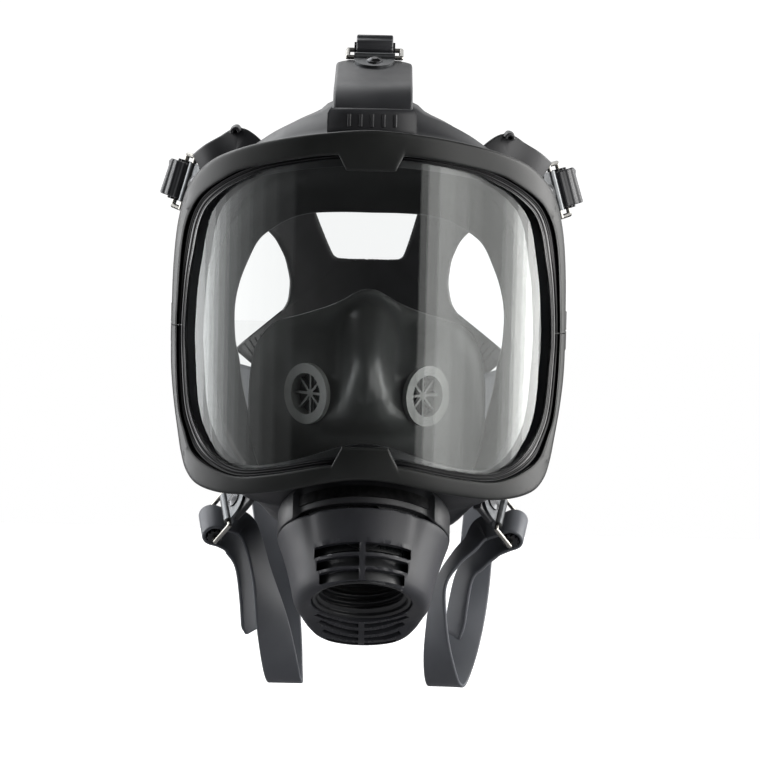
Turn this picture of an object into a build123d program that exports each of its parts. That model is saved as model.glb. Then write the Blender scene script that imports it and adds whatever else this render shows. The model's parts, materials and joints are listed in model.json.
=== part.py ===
from build123d import *
import os
from math import copysign, cos, pi, radians, sin

# Full face respirator with a panoramic lens, a threaded filter port and a five point head harness.
# Millimetres.  +Z is up, the wearer looks along -Y and +X is the wearer's left.
# The origin is the middle of the face opening, on the upright axis of the lens cylinder.

# ---- driving dimensions ------------------------------------------------------------------
FRAME_R = 103.0            # radius of the lens frame's front face, about the Z axis
FRAME_BACK_R = 99.0
FRAME_SKIRT = 12.0         # depth of the frame's side wall
FRAME_WALL = 3.0
FRAME_SPLIT_GAP = 0.4
LENS_R = 98.0
LENS_THICKNESS = 2.5
SEAL_OUTER_R = 98.9
SEAL_INNER_R = 92.8
BLANK_WALL = 3.0
FACE_PLANE_Y = 12.0        # where the face seal touches the wearer

PORT_TILT = 58.0           # degrees the filter port points below straight ahead
COVER_RIM_Y = -65.2
COVER_RIM_Z = -95.6
COVER_RIM_R = 39.0
COVER_DEPTH = 33.0
COVER_WALL = 2.4
PORT_OFFSET = 8.6          # filter port's centre, forward of the cover's axis
THREAD_MINOR_R = 18.4      # Rd 40 x 1/7 inch internal thread
THREAD_MAJOR_R = 20.2
THREAD_PITCH = 3.63
INSERT_R = 22.2
INSERT_START = 17.0
DRUM_R = 34.0
EXHALE_OFFSET = -23.5

STRAP_WIDTH = 17.0
STRAP_THICKNESS = 2.0
WIRE_R = 1.1
WIRE_HOLE_R = 1.16
BAIL_HALF_WIDTH = 12.4
BAIL_LENGTH = 11.0
ROLLER_CORE_R = 3.1
RIB_R = 0.7
RIB_COUNT = 10
WRAP_INNER_R = 4.4

# ---- outlines of the lens opening, right half, from top centre to bottom centre (x, z) ----
FRAME_OUTLINE = [
    (0, 88.5), (35, 85), (62, 78.5), (76.5, 70), (85.5, 54), (89.5, 25), (90, -5),
    (88.5, -32), (85.8, -48), (81.5, -65), (76, -70.5), (65, -72.7), (52, -72),
    (33, -68.5), (15, -64.3), (0, -62.7),
]
FRAME_OPENING = [
    (0, 78), (35, 75), (55, 71), (65, 66.5), (73.5, 61), (82.5, 47), (86.5, 13),
    (86.7, -18), (85, -37), (82, -47), (78, -56), (70, -61.5), (57, -64.5),
    (40, -62), (17, -57), (0, -56),
]
SEAL_OPENING = [
    (0, 76.3), (26, 74.5), (45, 71), (64, 62), (72.5, 54.5), (76.5, 46), (81.5, 20),
    (83, 0), (82.5, -14), (80.5, -35), (75.5, -48), (67, -57.5), (56, -61.5),
    (40, -59.5), (17, -54.5), (0, -53.5),
]
FACE_OPENING = [
    (0, 52.3), (28, 51.5), (38, 49), (47, 44), (54, 38), (59, 28), (63, 17), (65, 0),
    (64, -20), (60, -42), (50, -65), (34, -82), (16, -90), (0, -92),
]


ACROSS = Vector(1, 0, 0)


def vectors(rows):
    return [Vector(*row) for row in rows]


def full_outline(half):
    """The whole closed outline of a mirrored half."""
    return half + [(-x, z) for x, z in reversed(half[1:-1])]


def inset(points, distance):
    """The closed outline moved inwards, point by point along its normals."""
    moved = []
    for index, (x, z) in enumerate(points):
        before = points[index - 1]
        after = points[(index + 1) % len(points)]
        along = Vector(after[0] - before[0], after[1] - before[1]).normalized()
        moved.append((x + along.Y * distance, z - along.X * distance))
    return moved


def prism(points, front=-130.0, back=0.0):
    """A closed outline in XZ, extruded from y = back to y = front."""
    face = make_face(Spline(*points, periodic=True))
    return Pos(0, back, 0) * extrude(Plane.XZ * face, amount=back - front)


def upright_shell(outer, inner):
    return Cylinder(outer, 300) - Cylinder(inner, 302)


def rounded(half_width, top, bottom, squareness, y):
    """A rounded section of the soft parts in the plane at y, as a face."""
    middle = (top + bottom) / 2
    half_height = (top - bottom) / 2
    points = []
    for step in range(20):
        angle = 2 * pi * step / 20
        across = sin(angle)
        up = cos(angle)
        x = copysign(half_width * abs(across) ** squareness, across)
        z = middle + copysign(half_height * abs(up) ** squareness, up)
        points.append((x, z))
    return Pos(0, y, 0) * (Plane.XZ * make_face(Spline(*points, periodic=True)))


OUTER = full_outline(FRAME_OUTLINE)

# ---- the port's own frame: x across, y forward-up along the cover's rim, z out of the port ----
PORT_AXIS = Vector(0, -cos(radians(PORT_TILT)), -sin(radians(PORT_TILT)))
PORT = Plane(origin=(0, COVER_RIM_Y, COVER_RIM_Z), x_dir=(1, 0, 0), z_dir=PORT_AXIS).location
UP = (Align.CENTER, Align.CENTER, Align.MIN)


def port_disc(radius, start, end, offset=0.0):
    return PORT * Pos(0, offset, start) * Cylinder(radius, end - start, align=UP)


def spoked_seat(place, outer, hole, depth, spokes, pin_length):
    """A valve seat: ring, spokes and a headed centre pin that points along -z."""
    pin_r = 0.8
    seat = Cylinder(outer, depth, align=UP) - Cylinder(hole, depth, align=UP)
    for turn in PolarLocations(0, spokes):
        seat += turn * Pos(hole / 2 + 0.4, 0, depth / 2) * Box(hole + 0.8, 1.1, 1.6)
    seat += Pos(0, 0, depth / 2 - 0.8) * Cylinder(1.9, 1.6, align=UP)
    seat += Pos(0, 0, -pin_length) * Cylinder(pin_r, pin_length + depth / 2, align=UP)
    seat += Pos(0, 0, -pin_length - 0.6) * Cylinder(1.4, 0.6, align=UP)
    return place * seat


def valve_disc(place, radius, start):
    """A flat flap with a hole that slides on the pin of its seat, placed at start."""
    flap = Cylinder(radius, 0.7, align=UP) - Cylinder(1.0, 0.7, align=UP)
    return place * Pos(0, 0, -start - 0.7) * flap


# ---- lens, seal and frame -----------------------------------------------------------------
def visor_lens():
    return prism(inset(OUTER, 6.0)) & upright_shell(LENS_R, LENS_R - LENS_THICKNESS)


def lens_seal(lens):
    band = prism(inset(OUTER, FRAME_WALL + 0.4)) - prism(full_outline(SEAL_OPENING))
    return (band & upright_shell(SEAL_OUTER_R, SEAL_INNER_R)) - lens


def whole_frame():
    """Both halves of the frame as one: face, side wall and the two middle tabs."""
    band = prism(OUTER) - prism(full_outline(FRAME_OPENING))
    top_tab = Polygon((-14.5, 80), (14.5, 80), (10.6, 71), (-10.6, 71), align=None)
    low_tab = Polygon((-15, -58), (15, -58), (10, -48.5), (-10, -48.5), align=None)
    for tab in (top_tab, low_tab):
        band += extrude(Plane.XZ * tab, amount=130, dir=(0, -1, 0))
    crescent = Cylinder(FRAME_R, 300) - Pos(0, FRAME_SKIRT, 0) * Cylinder(FRAME_R, 302)
    skirt = (prism(OUTER) - prism(inset(OUTER, FRAME_WALL))) & crescent
    return (band & upright_shell(FRAME_R, FRAME_BACK_R)) + skirt


LUG_X = 88.3
LUG_Y = -27.5
LUG_R = 4.0
LUG_HEIGHT = 9.0
SCREW_R = 1.5


def frame_half(frame, side):
    """Upper half for side 1, lower half for side -1, with a screw lug at each end of the joint."""
    keep = Pos(0, 0, side * (100 + FRAME_SPLIT_GAP / 2)) * Box(260, 260, 200)
    half = frame & keep
    for hand in (-1, 1):
        boss = Cylinder(LUG_R, 2 * LUG_HEIGHT)
        web = Pos(hand * 0.3, -7, 0) * Box(2.8, 13.5, 2 * LUG_HEIGHT)
        lug = Pos(hand * LUG_X, LUG_Y, 0) * (boss + web)
        half += lug & keep
        half -= Pos(hand * LUG_X, LUG_Y, 0) * Cylinder(SCREW_R + 0.1, 60)
    return half


def frame_screws():
    screw = Pos(0, 0, -LUG_HEIGHT - 3.2) * Cylinder(SCREW_R, 2 * LUG_HEIGHT + 3.2, align=UP)
    head = Pos(0, 0, LUG_HEIGHT) * Cylinder(2.8, 2.2, align=UP)
    head -= Pos(0, 0, LUG_HEIGHT + 1.2) * Box(5.6, 0.8, 2.0, align=UP)
    return [Pos(hand * LUG_X, LUG_Y, 0) * (screw + head) for hand in (-1, 1)]


def frame_nuts():
    nut = extrude(RegularPolygon(3.1, 6), amount=2.4) - Cylinder(SCREW_R + 0.05, 10)
    return [Pos(hand * LUG_X, LUG_Y, -LUG_HEIGHT - 2.4) * nut for hand in (-1, 1)]


# ---- faceblank and nose cup ---------------------------------------------------------------
BLANK_RINGS = [(-96.0, 84.0, 84.5, -66.0, 0.45), (-58.0, 83.5, 95.0, -77.0, 0.55),
               (-20.0, 81.0, 92.0, -95.0, 0.70), (FACE_PLANE_Y, 79.0, 80.0, -104.0, 0.80)]
BLANK_STATIONS = 24
FLANGE_WIDTH = 12.0
NOSE_SECTIONS = [(46.0, 24.0, -84.0, 0.85, 4.0), (47.0, 16.0, -77.0, 0.88, -35.0),
                 (38.5, 8.0, -70.0, 0.92, -50.0), (28.5, 0.0, -62.0, 0.95, -62.0),
                 (13.5, -14.0, -48.0, 1.0, -74.0)]


def soft_loft(sections, shrink=0.0):
    faces = []
    for half_width, top, bottom, squareness, y in sections:
        faces.append(rounded(half_width - shrink, top - shrink, bottom + shrink, squareness, y))
    return loft(faces)


def reach(outline, angle):
    """How far a closed outline is from the origin, at an angle from straight up."""
    ray = (sin(angle), cos(angle))
    furthest = 0.0
    for index, (x1, z1) in enumerate(outline):
        x2, z2 = outline[(index + 1) % len(outline)]
        spread = ray[0] * (z2 - z1) - ray[1] * (x2 - x1)
        if abs(spread) < 1e-9:
            continue
        part = (ray[1] * x1 - ray[0] * z1) / spread
        if -1e-6 <= part <= 1 + 1e-6:
            x = x1 + (x2 - x1) * part
            z = z1 + (z2 - z1) * part
            furthest = max(furthest, x * ray[0] + z * ray[1])
    return furthest


def ring_reach(ring, angle):
    """How far one rounded ring of the faceblank is from the origin, at an angle from up."""
    y, half_width, top, bottom, squareness = ring
    middle = (top + bottom) / 2
    points = []
    for step in range(72):
        turn = 2 * pi * step / 72
        x = copysign(half_width * abs(sin(turn)) ** squareness, sin(turn))
        z = middle + copysign((top - bottom) / 2 * abs(cos(turn)) ** squareness, cos(turn))
        points.append((x, z))
    return reach(points, angle)


def wall_reach(rings, y):
    """The faceblank's reach at a depth, from the reaches of its rings."""
    for (y1, reach1), (y2, reach2) in zip(rings, rings[1:]):
        if y <= y2:
            return reach1 + (reach2 - reach1) * (y - y1) / (y2 - y1)
    return rings[-1][1]


def blank_section(angle):
    """The faceblank's cross-section in the upright plane at an angle from straight up."""
    edge = reach(inset(OUTER, FRAME_WALL + 0.8), angle)
    x = edge * sin(angle)
    front = -((SEAL_INNER_R - 0.2) ** 2 - x ** 2) ** 0.5
    behind_frame = FRAME_SKIRT + 0.6 - (FRAME_R ** 2 - x ** 2) ** 0.5
    step = max(front + 0.5, behind_frame)
    rings = [(ring[0], ring_reach(ring, angle)) for ring in BLANK_RINGS]
    depths = [step + (FACE_PLANE_Y - step) * part for part in (0.12, 0.3, 0.5, 0.75, 1.0)]
    wall = [(wall_reach(rings, y), y) for y in depths]
    opening = reach(full_outline(FACE_OPENING), angle)
    outer = [(edge - FLANGE_WIDTH, front), (edge, front), (edge, step)] + wall
    lip = [(opening, FACE_PLANE_Y), (opening, FACE_PLANE_Y - BLANK_WALL)]
    inner = [(r - BLANK_WALL, min(y, FACE_PLANE_Y - BLANK_WALL)) for r, y in reversed(wall)]
    inner += [(min(edge, wall[0][0]) - BLANK_WALL, step + 2.2), (edge - FLANGE_WIDTH, step + 2.2)]
    points = [(r * sin(angle), y, r * cos(angle)) for r, y in outer + lip + inner]
    return make_face(Polyline(*points, close=True))


def blank_shell():
    sections = [blank_section(pi * step / BLANK_STATIONS) for step in range(BLANK_STATIONS + 1)]
    half = loft(sections, ruled=True)
    return half + mirror(half, about=Plane.YZ)


def place_point(place, x, y, z):
    return (place * Pos(x, y, z)).position


def side_tab(place, root):
    """A rubber tab from the faceblank's wall at root to the underside of a buckle's clip plate."""
    across = place_point(place, 1, 0, 0) - place_point(place, 0, 0, 0)
    route = [Vector(*root), place_point(place, 0, -14, -2.2), place_point(place, 0, -4.5, -2.2)]
    return ribbon(route, [across] * 3, 19.0, 3.0)


def forehead_tab(place):
    """The upstanding tab that carries the top buckle."""
    route = vectors([(0, -83, 85), (0, -82, 96), (0, -73, 105.5), (0, -58, 110)])
    route += [place_point(place, 0, -16, -2.2), place_point(place, 0, -4.5, -2.2)]
    return ribbon(route, [ACROSS] * 6, 35.0, 3.0)


def faceblank(buckles):
    blank = blank_shell()
    blank += forehead_tab(buckles["top"])
    for name, root in TAB_ROOTS.items():
        blank += side_tab(buckles[name], root)
    blank += port_disc(DRUM_R + 2.6, -15, -3)
    blank -= port_disc(DRUM_R + 0.2, -40, 10)
    for hand in (-1, 1):
        blank -= Pos(hand * LUG_X, LUG_Y, 0) * Cylinder(LUG_R + 0.6, 30)
    for place in buckles.values():
        blank -= place * Pos(0, RIVET_Y, 0) * Cylinder(RIVET_R + 0.1, 30)
        blank -= place * Pos(0, -7.5, 1.9) * Box(20, 15, 5.1)
        blank -= place * Pos(0, RIVET_Y, -4.6) * Cylinder(3.5, 1.8)
    return blank


VALVE_TURN = 44.0          # degrees the nose cup valves face away from straight ahead
VALVE_X = 26.0
VALVE_Y = -62.0
VALVE_Z = -29.0


def valve_place(hand):
    """The frame of a nose cup valve: z points out of the cup, towards the lens."""
    out = Vector(hand * sin(radians(VALVE_TURN)), -cos(radians(VALVE_TURN)), 0)
    return Plane(origin=(hand * VALVE_X, VALVE_Y, VALVE_Z), x_dir=(0, 0, 1), z_dir=out).location


def nose_cup():
    cup = soft_loft(NOSE_SECTIONS) - Pos(0, 2.5, 0) * soft_loft(NOSE_SECTIONS, 2.5)
    cup -= Pos(0, 54, 0) * Box(200, 100, 300)
    for hand in (-1, 1):
        cup -= valve_place(hand) * Cylinder(13.9, 30, align=UP)
        cup -= valve_place(hand) * Cylinder(11.0, 40)
    return cup - port_disc(DRUM_R + 0.2, -24.2, 40)


# ---- front module -------------------------------------------------------------------------
def cover_form(shrink):
    """The cover's tapering drum with a rounded lower edge, shrunk by the wall for its inside."""
    faces = []
    for part, rounding in ((0.0, 0.0), (0.4, 0.0), (0.82, 0.3), (0.95, 1.8), (1.0, 4.4)):
        across = COVER_RIM_R + (29.0 - COVER_RIM_R) * part - rounding - shrink
        along = COVER_RIM_R + (34.0 - COVER_RIM_R) * part - rounding - shrink
        depth = (COVER_DEPTH - shrink) * part
        faces.append(PORT * Pos(0, -2.0 * part, depth) * Ellipse(across, along))
    return loft(faces)


def front_cover():
    cover = cover_form(0) - cover_form(COVER_WALL)
    cover -= port_disc(INSERT_R + 0.25, 20, 40, PORT_OFFSET)
    for depth, half_width in ((9.0, 21.0), (16.0, 19.7), (22.0, 18.0)):
        for hand in (-1, 1):
            slot = Box(half_width - 1.2, 30, 4.0)
            cover -= PORT * Pos(hand * (half_width + 1.2) / 2, 38, depth) * slot
    for row in range(5):
        middle = INSERT_R + 3.4 + 4.4 * row
        ring = Cylinder(middle + 1.3, 14) - Cylinder(middle - 1.3, 14)
        for hand in (-1, 1):
            window = Pos(hand * 11.2, -35, 0) * Box(20 - row, 50, 14)
            cover -= PORT * Pos(0, PORT_OFFSET, COVER_DEPTH) * (ring & window)
    return cover


DIAPHRAGM_DEPTH = 6.0
DIAPHRAGM_R = 10.6
DIAPHRAGM_FLOOR = 27.5


def diaphragm_place(offset):
    """The frame of the speech diaphragm: z points forward, out through the cover's front slots."""
    return PORT * Pos(0, offset, DIAPHRAGM_DEPTH) * Rot(-90, 0, 0)


def port_body():
    body = port_disc(DRUM_R, -24, 4) + port_disc(27.0, 3.9, INSERT_START, 4.0)
    body += port_disc(11.4, 3.9, INSERT_START, EXHALE_OFFSET)
    body -= port_disc(30.0, -25, 0)
    body -= port_disc(14.5, -1, 30, PORT_OFFSET)
    body -= port_disc(8.0, -1, 30, EXHALE_OFFSET)
    body -= diaphragm_place(DIAPHRAGM_FLOOR) * Cylinder(DIAPHRAGM_R + 0.1, 20, align=UP)
    body -= diaphragm_place(18.0) * Cylinder(8.0, 20, align=UP)
    return body


def inlet_thread_insert():
    insert = port_disc(INSERT_R, INSERT_START, COVER_DEPTH, PORT_OFFSET)
    insert -= port_disc(15.5, INSERT_START - 1, 40, PORT_OFFSET)
    insert -= port_disc(THREAD_MAJOR_R, INSERT_START + 2.5, 40, PORT_OFFSET)
    for turn in range(3):
        depth = COVER_DEPTH - 2.0 - THREAD_PITCH * turn
        crest = Polyline((THREAD_MAJOR_R + 0.5, depth - 1.5), (THREAD_MAJOR_R, depth - 1.5),
                         (THREAD_MINOR_R, depth - 0.6), (THREAD_MINOR_R, depth + 0.6),
                         (THREAD_MAJOR_R, depth + 1.5), (THREAD_MAJOR_R + 0.5, depth + 1.5), close=True)
        ridge = revolve(Plane.XZ * make_face(crest), Axis.Z)
        insert += PORT * Pos(0, PORT_OFFSET, 0) * ridge
    return insert


def inlet_gasket():
    start = INSERT_START + 2.5
    outer = port_disc(THREAD_MAJOR_R - 0.3, start, start + 1.8, PORT_OFFSET)
    return outer - port_disc(16.0, start - 1, start + 3, PORT_OFFSET)


def inhalation_valve():
    place = PORT * Pos(0, PORT_OFFSET, 12.0)
    return spoked_seat(place, 14.4, 12.0, 4.0, 6, 2.9), valve_disc(place, 13.0, 0.2)


def exhalation_valve():
    place = PORT * Pos(0, EXHALE_OFFSET, INSERT_START + 2.5) * Rot(180, 0, 0)
    return spoked_seat(place, 9.3, 7.0, 2.5, 4, 2.9), valve_disc(place, 8.6, 0.2)


def speech_diaphragm():
    place = diaphragm_place(DIAPHRAGM_FLOOR)
    o_ring = place * Pos(0, 0, 0.8) * Torus(DIAPHRAGM_R - 1.2, 0.8)
    film = place * Pos(0, 0, 1.6) * Cylinder(DIAPHRAGM_R, 0.5, align=UP)
    for radius in (3.0, 6.0):
        film += place * Pos(0, 0, 2.0) * (Cylinder(radius + 0.4, 0.4, align=UP) - Cylinder(radius - 0.4, 1))
    ring = Cylinder(DIAPHRAGM_R, 2.0, align=UP) - Cylinder(DIAPHRAGM_R - 2.6, 5)
    return o_ring, film, place * Pos(0, 0, 2.1) * ring


def port_clamp():
    start = -11.0
    band = port_disc(DRUM_R + 3.6, start, start + 5) - port_disc(DRUM_R + 2.6, start - 1, start + 6)
    housing = PORT * Pos(0, -DRUM_R - 5.2, start + 2.5) * Box(9, 4.6, 5)
    housing -= PORT * Pos(0, -DRUM_R - 5.2, start + 2.5) * Rot(0, 90, 0) * Cylinder(1.4, 20)
    housing -= port_disc(DRUM_R + 3.5, start - 1, start + 6)
    screw = Cylinder(1.3, 10.5) + Pos(0, 0, 5.2) * Cylinder(2.1, 2.0, align=UP)
    screw = PORT * Pos(0, -DRUM_R - 5.2, start + 2.5) * Rot(0, 90, 0) * screw
    return band + housing, screw


# ---- straps and head pad ------------------------------------------------------------------
def smooth(values, steps):
    """Catmull-Rom points through a list of vectors."""
    result = []
    last = len(values) - 1
    for index in range(last):
        a = values[max(index - 1, 0)]
        b = values[index]
        c = values[index + 1]
        d = values[min(index + 2, last)]
        for step in range(steps):
            t = step / steps
            bend = (a * 2 - b * 5 + c * 4 - d) * (t * t) + (b * 3 - a - c * 3 + d) * (t ** 3)
            result.append((b * 2 + (c - a) * t + bend) * 0.5)
    result.append(values[last])
    return result


def ribbon(route, widths, width, thickness, steps=4):
    """A flat strap along a route, turned so that its width lies along the given directions."""
    centres = smooth(route, steps)
    across = smooth(widths, steps)
    faces = []
    for index, centre in enumerate(centres):
        ahead = centres[min(index + 1, len(centres) - 1)]
        behind = centres[max(index - 1, 0)]
        along = (ahead - behind).normalized()
        side = (across[index] - along * across[index].dot(along)).normalized()
        faces.append(Plane(origin=centre, x_dir=side, z_dir=along) * Rectangle(width, thickness))
    return loft(faces, ruled=True)


PAD_CENTRE = (0, 12, 10)
PAD_R = 102.0
PAD_THICKNESS = 3.0
PAD_HALF = [(0, 69), (11, 69), (30, 66), (44, 60), (58, 57), (63, 41), (49, 35), (43.5, 22),
            (42, 8), (46, -3), (59, -11), (71, -20), (58, -32), (44, -24), (20, -15), (0, -13)]


def head_pad():
    """The spider shaped pad at the back of the head, with its trapezoid window."""
    sheet = make_face(Polyline(*full_outline(PAD_HALF), close=True))
    sheet += Pos(0, 74) * Rectangle(STRAP_WIDTH + 2, 24)
    window = Polygon((-25, 52), (25, 52), (16.7, 27), (-16.7, 27), align=None)
    sheet -= fillet(window.vertices(), 5)
    block = Pos(0, 20, 0) * extrude(Plane.XZ * sheet, amount=-120)
    return block & (Pos(*PAD_CENTRE) * (Sphere(PAD_R) - Sphere(PAD_R - PAD_THICKNESS)))


TOP_ROUTE = vectors([(0, -4, 127.5), (0, 14, 130), (0, 40, 125), (0, 66, 109.5), (0, 81.5, 86.5)])
TEMPLE_ROUTE = vectors([(90, -6, 66), (89, 16, 65), (82, 42, 60), (72, 66, 54), (61.8, 84.8, 49)])
NECK_LEFT_ROUTE = vectors([
    (-56.8, -27.5, -95.2), (-52.2, -28, -103), (-47.5, -28, -120), (-42, -25, -145), (-38, -18, -167),
    (-36.5, -8, -174), (-36.5, 1, -170), (-36.5, 8, -155), (-38, 18, -130), (-45, 33, -98),
    (-57, 57, -60), (-65.5, 77, -28.5)])
NECK_RIGHT_ROUTE = vectors([
    (55.8, -27, -94.8), (50.6, -28, -101.5), (43.5, -29, -109), (37.5, -29, -119), (35.6, -27, -134),
    (36, -24, -150), (38, -17, -166), (40.5, -8, -174), (44, 1, -171.5), (49, 8, -157),
    (53, 18, -138), (56, 31, -112), (60, 54, -68), (65.5, 77, -28.5)])
NECK_LEFT_WIDTHS = vectors([
    (0.18, 0.85, 0.49), (0.32, 0.9, 0.25), (0.45, 0.88, 0.1), (0.85, 0.5, 0), (1, 0.1, 0),
    (1, 0, 0), (1, 0, 0), (1, 0, 0), (1, 0, 0), (0.9, 0.3, -0.2), (0.75, 0.5, -0.35), (0.72, 0.5, -0.45)])
NECK_RIGHT_WIDTHS = vectors([
    (-0.18, 0.85, 0.49), (-0.12, 0.93, 0.3), (-0.08, 0.97, 0.2), (-0.15, 0.97, 0.1), (-0.42, 0.9, 0),
    (-0.65, 0.75, 0), (-0.92, 0.4, 0), (-1, 0.05, 0), (-1, 0, 0), (-1, 0, 0), (-1, 0, 0),
    (-0.95, 0.25, -0.1), (-0.82, 0.42, -0.3), (-0.72, 0.5, -0.45)])
NECK_LEFT_TAIL = vectors([(-63, -23, -104), (-57.5, -20, -113), (-54.5, -18, -130), (-52.5, -16, -148)])
NECK_RIGHT_TAIL = vectors([(61.5, -23, -103), (54.5, -21.5, -110), (47.8, -20, -120), (43.8, -17, -148)])


def temple_strap(hand):
    route = [Vector(hand * point.X, point.Y, point.Z) for point in TEMPLE_ROUTE]
    widths = vectors([(hand * 0.27, 0, 0.96)] * 3 + [(hand * -0.3, -0.2, 0.93)] * 2)
    return ribbon(route, widths, STRAP_WIDTH, STRAP_THICKNESS)


def neck_tail(hand, route):
    widths = vectors([(hand * -0.18, 0.85, 0.49), (hand * -0.3, 0.9, 0.3), (hand * -0.4, 0.9, 0),
                      (hand * -0.5, 0.85, 0)])
    return ribbon(route, widths, STRAP_WIDTH - 2, STRAP_THICKNESS)


# ---- buckles ------------------------------------------------------------------------------
CLIP_HALF_WIDTH = 9.35
RIVET_Y = -6.5
RIVET_R = 2.0
TAB_ROOTS = {
    "temple_left": (-74, -50, 64), "temple_right": (74, -50, 64),
    "neck_left": (-53, -38, -75.5), "neck_right": (53, -38, -75.5),
}


def buckle_place(point, pull, across):
    """A buckle's frame: x along the wire, y the way the strap pulls, z away from the wearer."""
    pull = Vector(*pull).normalized()
    across = Vector(*across)
    across = (across - pull * across.dot(pull)).normalized()
    return Plane(origin=point, x_dir=across, z_dir=across.cross(pull)).location


BUCKLES = {
    "top": buckle_place((0, -28, 124), (0, 0.93, 0.367), (1, 0, 0)),
    "temple_left": buckle_place((-84.8, -30, 64.5), (-0.42, 0.90, 0.12), (0.273, 0, 0.962)),
    "temple_right": buckle_place((84.8, -30, 64.5), (0.42, 0.90, 0.12), (0.273, 0, -0.962)),
    "neck_left": buckle_place((-64.5, -33, -87), (-0.60, 0.30, -0.74), (-0.18, 0.852, 0.492)),
    "neck_right": buckle_place((63.5, -33, -86), (0.60, 0.30, -0.74), (-0.18, -0.852, -0.492)),
}


WRAP_TURN = {"top": 0, "temple_left": 0, "temple_right": 0, "neck_left": -100, "neck_right": -95}


def clip_plate(place):
    plate = Pos(0, -3.0, 0) * Box(2 * CLIP_HALF_WIDTH, 3, 1.2)
    plate += Pos(0, -4.5, 0) * Cylinder(CLIP_HALF_WIDTH, 1.2)
    plate -= Pos(0, 9, 0) * Box(40, 18, 10)
    plate += Rot(0, 90, 0) * Cylinder(2.3, 2 * CLIP_HALF_WIDTH)
    plate -= Rot(0, 90, 0) * Cylinder(WIRE_HOLE_R, 60)
    plate -= Pos(0, RIVET_Y, 0) * Cylinder(RIVET_R + 0.1, 10)
    return place * plate


def buckle_rivet(place):
    head = Pos(0, 0, 0.6) * Cylinder(3.75, 0.6, align=UP)
    dome = Pos(0, 0, 1.2) * Cone(3.5, 1.6, 0.9, align=UP)
    shank = Pos(0, 0, -4.2) * Cylinder(RIVET_R, 4.9, align=UP)
    tail = Pos(0, 0, -5.2) * Cylinder(3.4, 1.1, align=UP)
    return place * Pos(0, RIVET_Y, 0) * (head + dome + shank + tail)


def wire_bail(place):
    bail = Part()
    for y in (0, BAIL_LENGTH):
        bail += Pos(0, y, 0) * Rot(0, 90, 0) * Cylinder(WIRE_R, 2 * BAIL_HALF_WIDTH)
    for hand in (-1, 1):
        x = hand * BAIL_HALF_WIDTH
        bail += Pos(x, BAIL_LENGTH / 2, 0) * Rot(90, 0, 0) * Cylinder(WIRE_R, BAIL_LENGTH)
        for y in (0, BAIL_LENGTH):
            bail += Pos(x, y, 0) * Sphere(WIRE_R)
    return place * bail


def strap_roller(place):
    section = Circle(ROLLER_CORE_R)
    for rib in PolarLocations(ROLLER_CORE_R, RIB_COUNT):
        section += rib * Circle(RIB_R)
    section -= Circle(WIRE_HOLE_R)
    roller = Pos(-9.5, BAIL_LENGTH, 0) * Rot(0, 90, 0) * extrude(section, amount=19)
    return place * roller


def strap_wrap(place, turn):
    """The short length of strap that bends round the roller, turned towards where the strap goes."""
    tube = Cylinder(WRAP_INNER_R + 1.8, STRAP_WIDTH) - Cylinder(WRAP_INNER_R, STRAP_WIDTH)
    tube = Rot(0, 90, 0) * tube & (Pos(0, -20, 0) * Box(40, 40, 40))
    legs = Part()
    for side in (-1, 1):
        legs += Pos(0, 3, side * (WRAP_INNER_R + 0.9)) * Box(STRAP_WIDTH, 6.2, 1.8)
    return place * Pos(0, BAIL_LENGTH, 0) * Rot(turn, 0, 0) * (tube + legs)


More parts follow.
